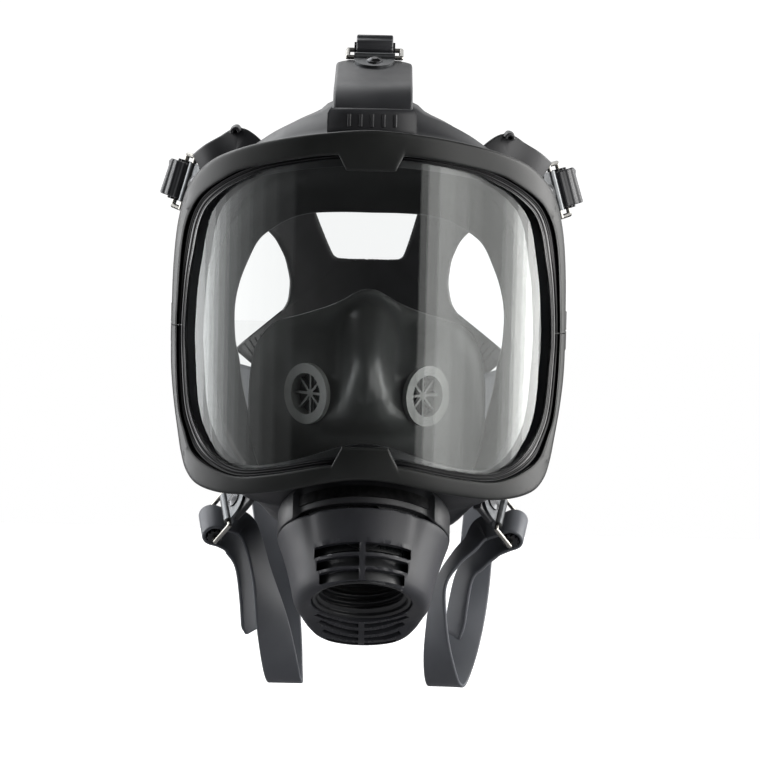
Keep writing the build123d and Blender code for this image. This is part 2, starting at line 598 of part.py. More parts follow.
# ---- write the sub-parts ------------------------------------------------------------------
def main():
    os.makedirs("parts", exist_ok=True)
    parts = {}
    lens = visor_lens()
    frame = whole_frame()
    parts["visor_lens"] = lens
    parts["lens_seal"] = lens_seal(lens)
    parts["frame_upper"] = frame_half(frame, 1)
    parts["frame_lower"] = frame_half(frame, -1)
    parts["frame_screws"] = frame_screws()
    parts["frame_nuts"] = frame_nuts()
    parts["faceblank"] = faceblank(BUCKLES)
    parts["nose_cup"] = nose_cup()
    for hand, side in ((-1, "left"), (1, "right")):
        place = valve_place(hand) * Pos(0, 0, -3.0)
        seat = spoked_seat(place, 10.4, 9.35, 3.0, 8, 2.9)
        seat += valve_place(hand) * (Cylinder(13.75, 2.5, align=UP) - Cylinder(9.35, 2.5, align=UP))
        parts["nose_cup_valve_seat_" + side] = seat
        parts["nose_cup_valve_disc_" + side] = valve_disc(place, 10.2, 0.2)
        parts["temple_strap_" + side] = temple_strap(hand)
    parts["front_cover"] = front_cover()
    parts["port_body"] = port_body()
    parts["inlet_thread_insert"] = inlet_thread_insert()
    parts["inlet_gasket"] = inlet_gasket()
    parts["inhalation_valve_seat"], parts["inhalation_valve_disc"] = inhalation_valve()
    parts["exhalation_valve_seat"], parts["exhalation_valve_disc"] = exhalation_valve()
    o_ring, film, ring = speech_diaphragm()
    parts["speech_diaphragm_o_ring"] = o_ring
    parts["speech_diaphragm"] = film
    parts["speech_diaphragm_ring"] = ring
    parts["port_clamp_band"], parts["port_clamp_screw"] = port_clamp()
    parts["head_pad"] = head_pad()
    parts["top_strap"] = ribbon(TOP_ROUTE, [ACROSS] * 5, STRAP_WIDTH, STRAP_THICKNESS)
    parts["neck_strap_left"] = ribbon(NECK_LEFT_ROUTE, NECK_LEFT_WIDTHS, STRAP_WIDTH, STRAP_THICKNESS)
    parts["neck_strap_right"] = ribbon(NECK_RIGHT_ROUTE, NECK_RIGHT_WIDTHS, STRAP_WIDTH, STRAP_THICKNESS)
    parts["neck_strap_tail_left"] = neck_tail(-1, NECK_LEFT_TAIL)
    parts["neck_strap_tail_right"] = neck_tail(1, NECK_RIGHT_TAIL)
    parts["buckle_rivets"] = [buckle_rivet(place) for place in BUCKLES.values()]
    for name, place in BUCKLES.items():
        parts[name + "_clip_plate"] = clip_plate(place)
        parts[name + "_wire_bail"] = wire_bail(place)
        parts[name + "_strap_roller"] = strap_roller(place)
        parts[name + "_strap_wrap"] = strap_wrap(place, WRAP_TURN[name])
    for name, shape in parts.items():
        solids = shape if isinstance(shape, list) else [shape]
        export_step(Compound(children=solids) if len(solids) > 1 else solids[0], f"parts/{name}.step")


if __name__ == "__main__":
    main()
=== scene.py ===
import bpy
import bmesh
import json
from bisect import bisect_left
from math import asin, atan2, copysign, cos, degrees, exp, hypot, pi, radians, sin, sqrt
from mathutils import Matrix, Vector


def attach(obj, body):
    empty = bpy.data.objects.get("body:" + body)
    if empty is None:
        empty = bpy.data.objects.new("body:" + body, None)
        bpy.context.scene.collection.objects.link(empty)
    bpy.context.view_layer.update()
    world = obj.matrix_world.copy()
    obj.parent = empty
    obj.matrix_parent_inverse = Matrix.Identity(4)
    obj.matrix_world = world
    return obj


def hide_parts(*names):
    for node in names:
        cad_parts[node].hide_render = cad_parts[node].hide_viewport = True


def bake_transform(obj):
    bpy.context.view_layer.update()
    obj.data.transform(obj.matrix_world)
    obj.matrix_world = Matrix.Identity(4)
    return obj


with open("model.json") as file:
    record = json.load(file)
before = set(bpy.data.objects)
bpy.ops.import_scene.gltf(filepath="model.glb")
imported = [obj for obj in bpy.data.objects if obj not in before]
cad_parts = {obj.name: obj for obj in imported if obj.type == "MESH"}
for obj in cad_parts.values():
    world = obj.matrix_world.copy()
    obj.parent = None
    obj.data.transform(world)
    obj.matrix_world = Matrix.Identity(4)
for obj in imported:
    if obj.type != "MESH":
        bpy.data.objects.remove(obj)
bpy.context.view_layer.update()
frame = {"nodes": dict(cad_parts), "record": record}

# Full face respirator: looks.  Sizes below are millimetres in the CAD frame (+Z up, lens faces -Y).
MM = 0.001
FRAME_R = 103.0            # upright cylinder that the frame's face follows
FRAME_DEPTH = 12.0
FRAME_WALL = 3.0           # of the channel behind the face
LENS_R = 98.0
LENS_THICKNESS = 2.5
SEAL_BACK_R = 92.8         # cylinder on which the seal meets the faceblank
BLANK_INSET = 3.8          # the faceblank's front edge, in from the frame's outline
FACE_Y = 12.0
PORT_TILT = radians(58)
RIM = Vector((0, -65.2, -95.6))     # middle of the front cover's open rim
PORT_AXIS = Vector((0, -cos(PORT_TILT), -sin(PORT_TILT)))
PORT_FORWARD = Vector((0, -sin(PORT_TILT), cos(PORT_TILT)))
PORT_OFFSET = 8.6          # the threaded port's axis, forward of the rim's middle
DRUM_R = 34.2              # port body
COVER_R = 39.0
COVER_DEPTH = 33.0
COVER_WALL = 2.4
BAR_HALF = 1.3             # half the bar between left and right slots
STRAP_WIDTH = 17.0
STRAP_THICKNESS = 1.8
BAIL_LENGTH = 11.0
WRAP_R = 4.95              # the strap's middle line round a roller

FRAME_OUTLINE = [
    (0, 88.5), (20, 87), (35, 85), (50, 82), (62, 78.5), (70, 75), (76.5, 70), (82, 63), (85.5, 54),
    (88, 42), (89.5, 25), (90, 5), (90, -16), (88.5, -32), (85.8, -48), (83.8, -58), (81, -65.5),
    (75.5, -70.6), (65, -72.7), (52, -72), (33, -68.5), (15, -64.3), (0, -62.7)]
FRAME_OPENING = [
    (0, 78), (20, 77.2), (35, 75), (55, 71), (65, 66.5), (73.5, 61), (78.5, 55.5), (82.5, 47), (85, 34),
    (86.5, 13), (87, 0), (86.7, -18), (85, -37), (82, -47), (78, -56), (70, -61.5), (57, -64.5),
    (40, -62), (17, -57), (0, -56)]
SEAL_OPENING = [
    (0, 76), (13, 76), (26, 74.5), (45, 71), (55, 66.8), (64, 62), (72.5, 54.5), (76.5, 46), (79, 34),
    (81.5, 20), (83, 0), (82.5, -14), (80.5, -35), (75.5, -48), (67, -57.5), (56, -61.5), (40, -59.5),
    (17, -54.5), (0, -53.5)]
FACE_OPENING = [
    (0, 52.3), (14, 52.3), (28, 51.5), (38, 49), (47, 44), (54, 38), (59, 28), (63, 17), (65, 5),
    (64.5, -10), (62.5, -19), (60, -35), (54, -55), (42, -74), (22, -88), (0, -92)]
BLANK_BROW = [
    (0, 104), (17, 103.5), (24, 98.8), (33.5, 94.5), (42.4, 89.3), (51, 83.5), (62, 77), (74, 67),
    (82, 52), (85.5, 30), (86, 0), (84.5, -30), (80.5, -52), (72, -66), (60, -74), (45, -80), (0, -86)]
BLANK_MIDDLE = [
    (0, 96), (30, 91), (55, 78), (70, 62), (79, 34), (81.5, 0), (80, -30), (73, -56), (62, -73),
    (50, -85), (40, -94), (22, -101), (0, -104)]
BLANK_BACK = [
    (0, 80), (28, 78), (52, 68), (68, 50), (77, 25), (79, -5), (77, -32), (69, -60), (56, -80),
    (38, -95), (18, -103), (0, -105)]


# ---- small geometry helpers ---------------------------------------------------------------
def catmull(values, steps, closed=False):
    """Smooth points through a list of Vectors."""
    count = len(values)
    spans = count if closed else count - 1
    result = []
    for index in range(spans):
        if closed:
            a, b, c, d = [values[(index + k) % count] for k in (-1, 0, 1, 2)]
        else:
            a, b, c, d = [values[min(max(index + k, 0), count - 1)] for k in (-1, 0, 1, 2)]
        for step in range(steps):
            t = step / steps
            bend = (2 * a - 5 * b + 4 * c - d) * t * t + (3 * b - a - 3 * c + d) * t ** 3
            result.append((2 * b + (c - a) * t + bend) * 0.5)
    if not closed:
        result.append(values[-1])
    return result


def blend_value(low, high, t):
    """The value a share t of the way from low to high."""
    return low + (high - low) * t


def smoothstep(t):
    """A soft step from 0 to 1 as t goes from 0 to 1."""
    t = min(max(t, 0.0), 1.0)
    return t * t * (3 - 2 * t)


class Outline:
    """A closed outline in X and Z, mirrored from its right half, read by angle from straight up."""

    def __init__(self, half, steps=10):
        points = half + [(-x, z) for x, z in reversed(half[1:-1])]
        self.points = catmull([Vector(p) for p in points], steps, closed=True)
        table = sorted((atan2(p.x, p.y), hypot(p.x, p.y)) for p in self.points)
        self.angles = [row[0] for row in table]
        self.reaches = [row[1] for row in table]

    def reach(self, angle):
        angle = atan2(sin(angle), cos(angle))
        index = bisect_left(self.angles, angle)
        if index == 0 or index == len(self.angles):
            return self.reaches[0]
        low, high = self.angles[index - 1], self.angles[index]
        t = (angle - low) / (high - low) if high > low else 0
        return blend_value(self.reaches[index - 1], self.reaches[index], t)


OUTER = Outline(FRAME_OUTLINE)
OPENING = Outline(FRAME_OPENING)
LIP = Outline(SEAL_OPENING)
FACE = Outline(FACE_OPENING)
BROW = Outline(BLANK_BROW)
MIDDLE = Outline(BLANK_MIDDLE)
BACK = Outline(BLANK_BACK)


def on_front(reach, angle, depth, radius=FRAME_R):
    """The point at a reach and angle, depth mm behind the upright cylinder of that radius."""
    x = reach * sin(angle)
    return Vector((x, depth - sqrt(radius ** 2 - x ** 2), reach * cos(angle)))


def build(name, points, faces, smooth=True):
    """A mesh object from points in millimetres."""
    data = bpy.data.meshes.new(name)
    data.from_pydata([tuple(Vector(p) * MM) for p in points], [], faces)
    work = bmesh.new()
    work.from_mesh(data)
    bmesh.ops.remove_doubles(work, verts=work.verts, dist=1e-6)
    bmesh.ops.recalc_face_normals(work, faces=work.faces)
    work.to_mesh(data)
    work.free()
    for polygon in data.polygons:
        polygon.use_smooth = smooth
    piece = bpy.data.objects.new(name, data)
    bpy.context.scene.collection.objects.link(piece)
    return piece


def skin(rows, around=True, along=False, caps=True):
    """Points and quads of a grid of rows. around closes each row, along joins the last row to the first."""
    width = len(rows[0])
    points = [p for row in rows for p in row]
    faces = []
    for i in range(len(rows) if along else len(rows) - 1):
        for j in range(width if around else width - 1):
            a = i * width + j
            b = i * width + (j + 1) % width
            c = ((i + 1) % len(rows)) * width + (j + 1) % width
            d = ((i + 1) % len(rows)) * width + j
            faces.append((a, b, c, d))
    if around and not along and caps:
        faces.append(tuple(range(width)))
        last = (len(rows) - 1) * width
        faces.append(tuple(range(last + width - 1, last - 1, -1)))
    return points, faces


def merge(*grids):
    """Several grids as one list of points and faces."""
    points, faces = [], []
    for grid_points, grid_faces in grids:
        start = len(points)
        points += grid_points
        faces += [tuple(start + index for index in face) for face in grid_faces]
    return points, faces


def rounded_bar(half_width, half_height, radius, steps=4):
    """A rounded rectangle as (across, up) pairs."""
    pairs = []
    for cx, cy, turn in ((1, 1, 0), (-1, 1, 90), (-1, -1, 180), (1, -1, 270)):
        for step in range(steps + 1):
            angle = radians(turn + 90 * step / steps)
            pairs.append((cx * (half_width - radius) + radius * cos(angle),
                          cy * (half_height - radius) + radius * sin(angle)))
    return pairs


def sharpen(piece, angle=40):
    """Keeps creases over an angle crisp in the shading."""
    limit = radians(angle)
    work = bmesh.new()
    work.from_mesh(piece.data)
    for edge in work.edges:
        edge.smooth = not (len(edge.link_faces) == 2 and edge.calc_face_angle(0) > limit)
    work.to_mesh(piece.data)
    work.free()


def add_grids(piece, *grids):
    """Adds more grids to a piece's mesh."""
    extra = build("extra", *merge(*grids))
    work = bmesh.new()
    work.from_mesh(piece.data)
    work.from_mesh(extra.data)
    work.to_mesh(piece.data)
    work.free()
    bpy.data.objects.remove(extra)


def bevel(piece, width, angle=40):
    """Rounds the edges over an angle by a width in millimetres."""
    modifier = piece.modifiers.new("edges", "BEVEL")
    modifier.width = width * MM
    modifier.segments = 2
    modifier.limit_method = "ANGLE"
    modifier.angle_limit = radians(angle)
    modifier.harden_normals = False


# ---- materials ----------------------------------------------------------------------------
def node_material(name):
    """A new material, its node tree and its shader."""
    material = bpy.data.materials.new(name)
    material.use_nodes = True
    return material, material.node_tree, material.node_tree.nodes["Principled BSDF"]


def speckle(tree, scale, detail):
    """Noise fixed to the object, features per metre."""
    noise = tree.nodes.new("ShaderNodeTexNoise")
    noise.inputs["Scale"].default_value = scale
    noise.inputs["Detail"].default_value = detail
    place = tree.nodes.new("ShaderNodeTexCoord")
    tree.links.new(place.outputs["Object"], noise.inputs["Vector"])
    return noise.outputs["Fac"]


def remap(tree, value, low, high):
    """Spreads the middle of a noise over a range."""
    ramp = tree.nodes.new("ShaderNodeMapRange")
    ramp.inputs["From Min"].default_value = 0.3
    ramp.inputs["From Max"].default_value = 0.7
    ramp.inputs["To Min"].default_value = low
    ramp.inputs["To Max"].default_value = high
    tree.links.new(value, ramp.inputs["Value"])
    return ramp.outputs["Result"]


def tint(tree, value, dark, light):
    """A colour between dark and light."""
    mix = tree.nodes.new("ShaderNodeMix")
    mix.data_type = "RGBA"
    mix.inputs["A"].default_value = (*dark, 1)
    mix.inputs["B"].default_value = (*light, 1)
    tree.links.new(value, mix.inputs["Factor"])
    return mix.outputs["Result"]


def grain(tree, shader, value, strength, distance):
    """A bump of a height in millimetres."""
    bump = tree.nodes.new("ShaderNodeBump")
    bump.inputs["Strength"].default_value = strength
    bump.inputs["Distance"].default_value = distance * MM
    tree.links.new(value, bump.inputs["Height"])
    tree.links.new(bump.outputs["Normal"], shader.inputs["Normal"])


def moulded(name, dark, light, rough, grain_size, strength, blotch=90, specular=0.5):
    """A moulded plastic or rubber: fine grain, slow colour drift and uneven gloss."""
    material, tree, shader = node_material(name)
    drift = speckle(tree, blotch, 4)
    fine = speckle(tree, 1000 / grain_size, 2)
    tree.links.new(tint(tree, remap(tree, drift, 0, 1), dark, light), shader.inputs["Base Color"])
    tree.links.new(remap(tree, drift, rough[0], rough[1]), shader.inputs["Roughness"])
    shader.inputs["Specular IOR Level"].default_value = specular
    grain(tree, shader, fine, strength, grain_size * 0.12)
    return material


def metal(name, dark, light, rough, scratch):
    """A metal with slow drift in colour and gloss and fine scratches."""
    material, tree, shader = node_material(name)
    drift = speckle(tree, 400, 5)
    tree.links.new(tint(tree, remap(tree, drift, 0, 1), dark, light), shader.inputs["Base Color"])
    tree.links.new(remap(tree, drift, rough[0], rough[1]), shader.inputs["Roughness"])
    shader.inputs["Metallic"].default_value = 1.0
    grain(tree, shader, speckle(tree, scratch, 2), 0.15, 0.05)
    return material


def clear_lens():
    """Polished polycarbonate: lets the view through and mirrors more towards its edges."""
    material, tree, shader = node_material("lens_clear")
    tree.nodes.remove(shader)
    clear = tree.nodes.new("ShaderNodeBsdfTransparent")
    clear.inputs["Color"].default_value = (0.96, 0.968, 0.966, 1)
    mirror = tree.nodes.new("ShaderNodeBsdfGlossy")
    mirror.inputs["Roughness"].default_value = 0.02
    mirror.inputs["Color"].default_value = (0.95, 0.97, 0.96, 1)
    facing = tree.nodes.new("ShaderNodeLayerWeight")
    facing.inputs["Blend"].default_value = 0.5
    power = tree.nodes.new("ShaderNodeMath")
    power.operation = "POWER"
    power.inputs[1].default_value = 4.0
    share = tree.nodes.new("ShaderNodeMath")
    share.operation = "MULTIPLY_ADD"
    share.inputs[1].default_value = 0.95
    share.inputs[2].default_value = 0.045
    mix = tree.nodes.new("ShaderNodeMixShader")
    tree.links.new(facing.outputs["Facing"], power.inputs[0])
    tree.links.new(power.outputs["Value"], share.inputs[0])
    tree.links.new(share.outputs["Value"], mix.inputs["Fac"])
    tree.links.new(clear.outputs["BSDF"], mix.inputs[1])
    tree.links.new(mirror.outputs["BSDF"], mix.inputs[2])
    tree.links.new(mix.outputs["Shader"], tree.nodes["Material Output"].inputs["Surface"])
    return material


MOULDED = {   # dark and light colour, roughness range, grain in mm, its strength, blotch, specular
    "frame_plastic": ((0.009, 0.0098, 0.0097), (0.015, 0.016, 0.0155), (0.34, 0.44), 0.35, 0.3, 60, 0.36),
    "seal_rubber": ((0.004, 0.004, 0.005), (0.007, 0.007, 0.008), (0.14, 0.22), 0.8, 0.03),
    "blank_rubber": ((0.015, 0.0155, 0.018), (0.022, 0.023, 0.026), (0.4, 0.5), 0.4, 0.01),
    # head pad: a darker, less glossy copy of blank_rubber, painted shade for the dim inside of the mask
    # behind the brow
    "pad_rubber_painted_shade": ((0.006, 0.006, 0.007), (0.01, 0.01, 0.012), (0.42, 0.52), 0.4, 0.03, 90, 0.3),
    "cup_rubber": ((0.045, 0.047, 0.047), (0.06, 0.062, 0.062), (0.28, 0.36), 0.4, 0.01, 40),
    "valve_plastic": ((0.13, 0.135, 0.13), (0.16, 0.165, 0.16), (0.3, 0.4), 0.4, 0.1),
    "flap_silicone": ((0.012, 0.012, 0.012), (0.02, 0.02, 0.02), (0.35, 0.45), 0.5, 0.05),
    "cover_plastic": ((0.02, 0.021, 0.025), (0.029, 0.03, 0.036), (0.42, 0.52), 0.35, 0.25, 80, 0.42),
    "port_plastic": ((0.006, 0.007, 0.008), (0.01, 0.011, 0.012), (0.25, 0.35), 0.5, 0.1),
    "insert_plastic": ((0.012, 0.013, 0.014), (0.018, 0.019, 0.021), (0.35, 0.45), 0.4, 0.15),
    "gasket_rubber": ((0.01, 0.01, 0.01), (0.016, 0.016, 0.016), (0.3, 0.4), 0.5, 0.1),
    "roller_plastic": ((0.012, 0.012, 0.015), (0.018, 0.018, 0.021), (0.3, 0.4), 0.4, 0.15),
    "strap_rubber": ((0.088, 0.094, 0.106), (0.11, 0.116, 0.13), (0.44, 0.54), 0.4, 0.2, 50),
    "strap_ribbed": ((0.018, 0.0185, 0.021), (0.026, 0.027, 0.031), (0.34, 0.44), 0.4, 0.1, 50),
}
METALS = {   # dark and light colour, roughness range, scratches per metre
    "diaphragm_film": ((0.3, 0.31, 0.33), (0.42, 0.43, 0.45), (0.3, 0.4), 900),
    "clip_metal": ((0.1, 0.105, 0.11), (0.15, 0.155, 0.16), (0.28, 0.38), 1500),
    "rivet_metal": ((0.07, 0.072, 0.075), (0.12, 0.12, 0.125), (0.2, 0.3), 1500),
    "plated_steel": ((0.3, 0.29, 0.27), (0.42, 0.41, 0.38), (0.16, 0.28), 1200),
    "clamp_steel": ((0.03, 0.03, 0.032), (0.05, 0.05, 0.052), (0.35, 0.45), 1500),
    "nut_brass": ((0.6, 0.46, 0.22), (0.7, 0.55, 0.28), (0.25, 0.35), 1200),
}
MATERIALS = {name: moulded(name, *values) for name, values in MOULDED.items()}
MATERIALS.update({name: metal(name, *values) for name, values in METALS.items()})
MATERIALS["lens_clear"] = clear_lens()
NODE_SLOT = {row["node"]: row["material_slot"] for row in frame["record"]["subparts"]}


def dress(piece, name):
    """Gives a piece one of the materials."""
    piece.data.materials.clear()
    piece.data.materials.append(MATERIALS[name])


def finish_piece(piece, slot, body, *nodes):
    """Material, body and the CAD nodes a new piece stands for."""
    dress(piece, slot)
    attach(piece, body)
    if nodes:
        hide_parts(*nodes)
    return piece


# ---- lens frame ---------------------------------------------------------------------------
FRAME_PROFILE = [   # (share of the face width, extra inset, depth behind the face)
    (0, 0, FRAME_DEPTH), (0, 0, 7.4), (0, 0.5, 7.0), (0, 0.5, 6.4), (0, 0, 6.0), (0, 0, 1.6), (0, 0.1, 1.0),
    (0, 0.45, 0.4), (0, 1.0, 0.1), (0, 1.8, 0), (0.3, 0, -0.1), (0.5, 0, -0.12), (0.75, 0, -0.1),
    (1, -1.3, 0), (1, -0.7, 0.1), (1, -0.25, 0.4), (1, 0, 0.9), (1, 0, 4.0), (1, -0.4, 4.4), (0.4, 0, 4.4),
    (0, FRAME_WALL + 0.4, 4.7), (0, FRAME_WALL, 5.4), (0, FRAME_WALL, FRAME_DEPTH)]


def tab_reach(angle):
    """The frame's inner edge, with the small tab in the middle of each half that holds the lens edge."""
    reach = OPENING.reach(angle)
    angle = abs(atan2(sin(angle), cos(angle)))
    slope = 0.52
    for turn, end, half_end in ((angle, 71.0, 10.6), (pi - angle, 48.5, 10.0)):
        if turn < 0.3:
            flat = end / cos(turn)
            side = (slope * end - half_end) / (slope * cos(turn) - sin(turn))
            reach = min(reach, max(flat, side))
    return reach


def frame_section(angle):
    """The frame's cross-section at an angle."""
    outer = OUTER.reach(angle)
    width = outer - tab_reach(angle)
    row = []
    for share, extra, depth in FRAME_PROFILE:
        inset = min(max(width * share + extra, 0), max(width, FRAME_WALL + 0.4))
        row.append(on_front(outer - inset, angle, depth))
    return row


def make_frame():
    """The two frame halves, split at both sides, with finer steps round their tabs."""
    gap = 0.2 / OUTER.reach(pi / 2)
    fine = [radians(k * 0.3) for k in range(-50, 51)]
    near = fine[-1] + 0.0002
    coarse = [a for a in sorted(atan2(p.x, p.y) for p in OUTER.points) if near < abs(a) < pi - near]
    upper = sorted([a for a in coarse + fine if abs(a) < pi / 2 - gap * 3] + [-pi / 2 + gap, pi / 2 - gap])
    lower = sorted([a % (2 * pi) for a in coarse if abs(a) > pi / 2 + gap * 3]
                   + [a + pi for a in fine] + [pi / 2 + gap, 1.5 * pi - gap])
    for name, run, side in (("frame_upper", upper, 1), ("frame_lower", lower, -1)):
        body = skin([frame_section(angle) for angle in run])
        piece = build(name + "_shell", *merge(body, screw_lug(-1, side), screw_lug(1, side)))
        sharpen(piece, 38)
        finish_piece(piece, "frame_plastic", "root", name)


def screw_lug(hand, side):
    """The rounded ear behind the frame that takes the clamp screw."""
    rows = []
    for z, swell in ((0.2, -0.4), (0.5, 0), (8.6, 0), (9.0, -0.4)):
        row = []
        for step in range(16):
            turn = 2 * pi * step / 16
            x = 88.3 + (4.0 + swell) * cos(turn)
            y = -27.5 + (4.0 + swell) * sin(turn)
            if y < -27.5:
                x = 88.6 + copysign(min(abs(x - 88.6), 1.7 + (y + 31.5) * 0.58), x - 88.6)
                y = blend_value(-27.5, -41, (-27.5 - y) / 4.0)
            row.append(Vector((hand * x, y, side * z)))
        rows.append(row)
    return skin(rows)


# ---- lens seal and lens -------------------------------------------------------------------
def seal_section(angle):
    """Three fine lips between the frame's edge and the clear lens."""
    start = OPENING.reach(angle) + 2.0
    end = LIP.reach(angle)
    row = []
    steps = 26
    for index in range(steps + 1):
        t = index / steps
        ridge = abs(sin(pi * 3.5 * t)) ** 0.7
        depth = 4.1 + 0.35 * t - 1.1 * ridge * (1 - 0.25 * t)
        row.append(on_front(blend_value(start, end, t), angle, depth))
    row.append(on_front(end, angle, 5.2))
    outer = OUTER.reach(angle) - FRAME_WALL - 0.9
    row.append(on_front(end, angle, 0.6, SEAL_BACK_R + 1.0))
    row.append(on_front(end + 1.0, angle, 0, SEAL_BACK_R))
    row.append(on_front(outer, angle, 0, SEAL_BACK_R))
    row.append(on_front(outer, angle, 6.0))
    return row


def make_seal():
    """The seal between the lens, the frame and the faceblank."""
    angles = sorted(atan2(p.x, p.y) for p in OPENING.points)
    piece = build("lens_seal_lips", *skin([seal_section(angle) for angle in angles], along=True))
    finish_piece(piece, "seal_rubber", "root", "lens_seal")


def make_lens():
    """The curved lens, a polar grid with its edge inside the seal."""
    angles = [2 * pi * step / 180 for step in range(180)]
    rings = 40
    rows = []
    for radius in (LENS_R, LENS_R - LENS_THICKNESS):
        side = []
        for ring in range(1, rings + 1):
            share = ring / rings
            side.append([on_front((OUTER.reach(a) - 6.3) * share, a, 0, radius) for a in angles])
        rows.append(side)
    outer, inner = rows
    points, faces = skin(outer + inner[::-1], caps=False)
    last_ring = (2 * rings - 1) * len(angles)
    for ring_start, radius, flip in ((0, LENS_R, False), (last_ring, LENS_R - LENS_THICKNESS, True)):
        centre = len(points)
        points.append(Vector((0, -radius, 0)))
        for step in range(len(angles)):
            a, b = ring_start + step, ring_start + (step + 1) % len(angles)
            faces.append((centre, b, a) if flip else (centre, a, b))
    piece = build("visor_lens_clear", points, faces)
    finish_piece(piece, "lens_clear", "root", "visor_lens")


# ---- faceblank ----------------------------------------------------------------------------
def blank_reach(angle, y):
    """How far out the faceblank's wall is, at a depth."""
    rings = [(-92.0, OUTER.reach(angle) - BLANK_INSET), (-60.0, BROW.reach(angle)),
             (-25.0, MIDDLE.reach(angle)), (FACE_Y, BACK.reach(angle))]
    for (y1, r1), (y2, r2) in zip(rings, rings[1:]):
        if y <= y2:
            return blend_value(r1, r2, smoothstep((y - y1) / (y2 - y1)) * 0.5 + (y - y1) / (y2 - y1) * 0.5)
    return rings[-1][1]


def blank_section(angle):
    """The faceblank's section: front flange, outer wall, inturned face seal and inner wall."""
    edge = OUTER.reach(angle) - BLANK_INSET
    x = edge * sin(angle)
    front = -sqrt((SEAL_BACK_R - 0.2) ** 2 - x ** 2)
    step = max(front + 0.5, FRAME_DEPTH + 0.6 - sqrt(FRAME_R ** 2 - x ** 2))
    direction = Vector((sin(angle), 0, cos(angle)))
    wall = []
    for part in (0.06, 0.13, 0.22, 0.32, 0.42, 0.52, 0.62, 0.72, 0.82, 0.91):
        y = blend_value(step, FACE_Y, part)
        target = blank_reach(angle, y)
        wall.append((blend_value(edge + 1.2, target, smoothstep(part / 0.2)), y))
    back = BACK.reach(angle)
    opening = FACE.reach(angle)
    lip = [(back - 0.3, FACE_Y - 0.8), (back - 2.2, FACE_Y + 0.9),
           (blend_value(back, opening, 0.35), FACE_Y + 1.2),
           (blend_value(back, opening, 0.7), FACE_Y + 0.4), (opening + 1.4, FACE_Y - 1.6),
           (opening + 0.2, FACE_Y - 2.6), (opening, FACE_Y - 3.3), (opening + 0.3, FACE_Y - 3.9),
           (opening + 1.6, FACE_Y - 4.0), (blend_value(back, opening, 0.6), FACE_Y - 2.6),
           (back - 5, FACE_Y - 4.0)]
    outer = [(edge - 11, front + 2.6), (edge - 11, front), (edge, front), (edge, step - 0.1),
             (edge + 1.0, step + 0.4)]
    inner = [(r - 3.0, y) for r, y in reversed(wall)]
    row = []
    for r, y in outer + wall + lip + inner + [(edge - 3, step + 2.6)]:
        row.append(direction * r + Vector((0, y, 0)))
    return row


def strip(route, widths, width, thickness, steps=8, edge=0.45, taper=None, ribs=None):
    """A flat rubber strap with rounded edges along a route; taper and ribs give its width share and
    its thickness share along it."""
    centres = catmull([Vector(p) for p in route], steps)
    across = catmull([Vector(w) for w in widths], steps)
    rows = []
    for index, centre in enumerate(centres):
        ahead = centres[min(index + 1, len(centres) - 1)]
        behind = centres[max(index - 1, 0)]
        along = (ahead - behind).normalized()
        side = (across[index] - along * across[index].dot(along)).normalized()
        up = side.cross(along)
        share = taper(index / (len(centres) - 1)) if taper else 1.0
        depth = thickness * ribs(index / steps) if ribs else thickness
        row = []
        for a, b in rounded_bar(width / 2 * share, depth / 2, thickness * edge, 3):
            row.append(centre + side * a + up * b)
        rows.append(row)
    return skin(rows)


BUCKLES = {   # hinge point, the way the strap pulls, the wire's direction and how far the strap turns off
    "top": ((0, -28, 124), (0, 0.93, 0.367), (1, 0, 0), 0),
    "temple_left": ((-84.8, -30, 64.5), (-0.42, 0.90, 0.12), (0.273, 0, 0.962), 0),
    "temple_right": ((84.8, -30, 64.5), (0.42, 0.90, 0.12), (0.273, 0, -0.962), 0),
    "neck_left": ((-64.5, -33, -87), (-0.60, 0.30, -0.74), (-0.18, 0.852, 0.492), -100),
    "neck_right": ((63.5, -33, -86), (0.60, 0.30, -0.74), (-0.18, -0.852, -0.492), -95)}


def buckle_frame(name):
    """A buckle's matrix: x along the wire, y the way it pulls, z away from the wearer."""
    point, pull, across, turn = BUCKLES[name]
    pull = Vector(pull).normalized()
    across = Vector(across)
    across = (across - pull * across.dot(pull)).normalized()
    out = across.cross(pull)
    matrix = Matrix((across, pull, out)).transposed().to_4x4()
    matrix.translation = Vector(point)
    return matrix


def forehead_tab():
    """The brow's tab, up to the top clip plate."""
    place = buckle_frame("top")
    route = [(0, -84.5, 80), (0, -83.5, 90), (0, -80, 99), (0, -71, 106.5), (0, -57, 111),
             place @ Vector((0, -14, -2.1)), place @ Vector((0, -2.5, -2.1))]

    def shape(t):
        return 1.0 + 0.16 * smoothstep((0.34 - t) / 0.3) - 0.25 * smoothstep((t - 0.93) / 0.07)

    return strip(route, [(1, 0, 0)] * 7, 35.0, 3.2, taper=shape)


def badge():
    """A plain raised panel on the brow, with a row of small grip ribs."""
    grids = []
    rows = []
    for z in (87.0, 88.2, 90, 93, 96, 97.4, 98.4):
        half = 19.6 - 1.6 * smoothstep((z - 95.5) / 3) ** 2
        lift = 0.9 if 87.5 < z < 98 else 0.0
        row = []
        for share in (-1, -0.96, -0.9, -0.45, 0, 0.45, 0.9, 0.96, 1):
            x = half * share
            height = lift * (1 if abs(share) < 0.93 else 0.3)
            row.append(Vector((x, -86.9 - height + (z - 93) * 0.22 + x * x * 0.006, z)))
        back = [Vector((p.x, p.y + 3.0, p.z)) for p in reversed(row)]
        rows.append(row + back)
    grids.append(skin(rows))
    for index in range(5):
        x = -10.0 + 5.0 * index
        y = -88.3 + x * x * 0.006
        grids.append(strip([(x, y - 0.1, 90.3), (x, y + 0.35, 93), (x, y + 0.95, 95.6)], [(1, 0, 0)] * 3,
                           1.6, 1.2, steps=3))
    return grids


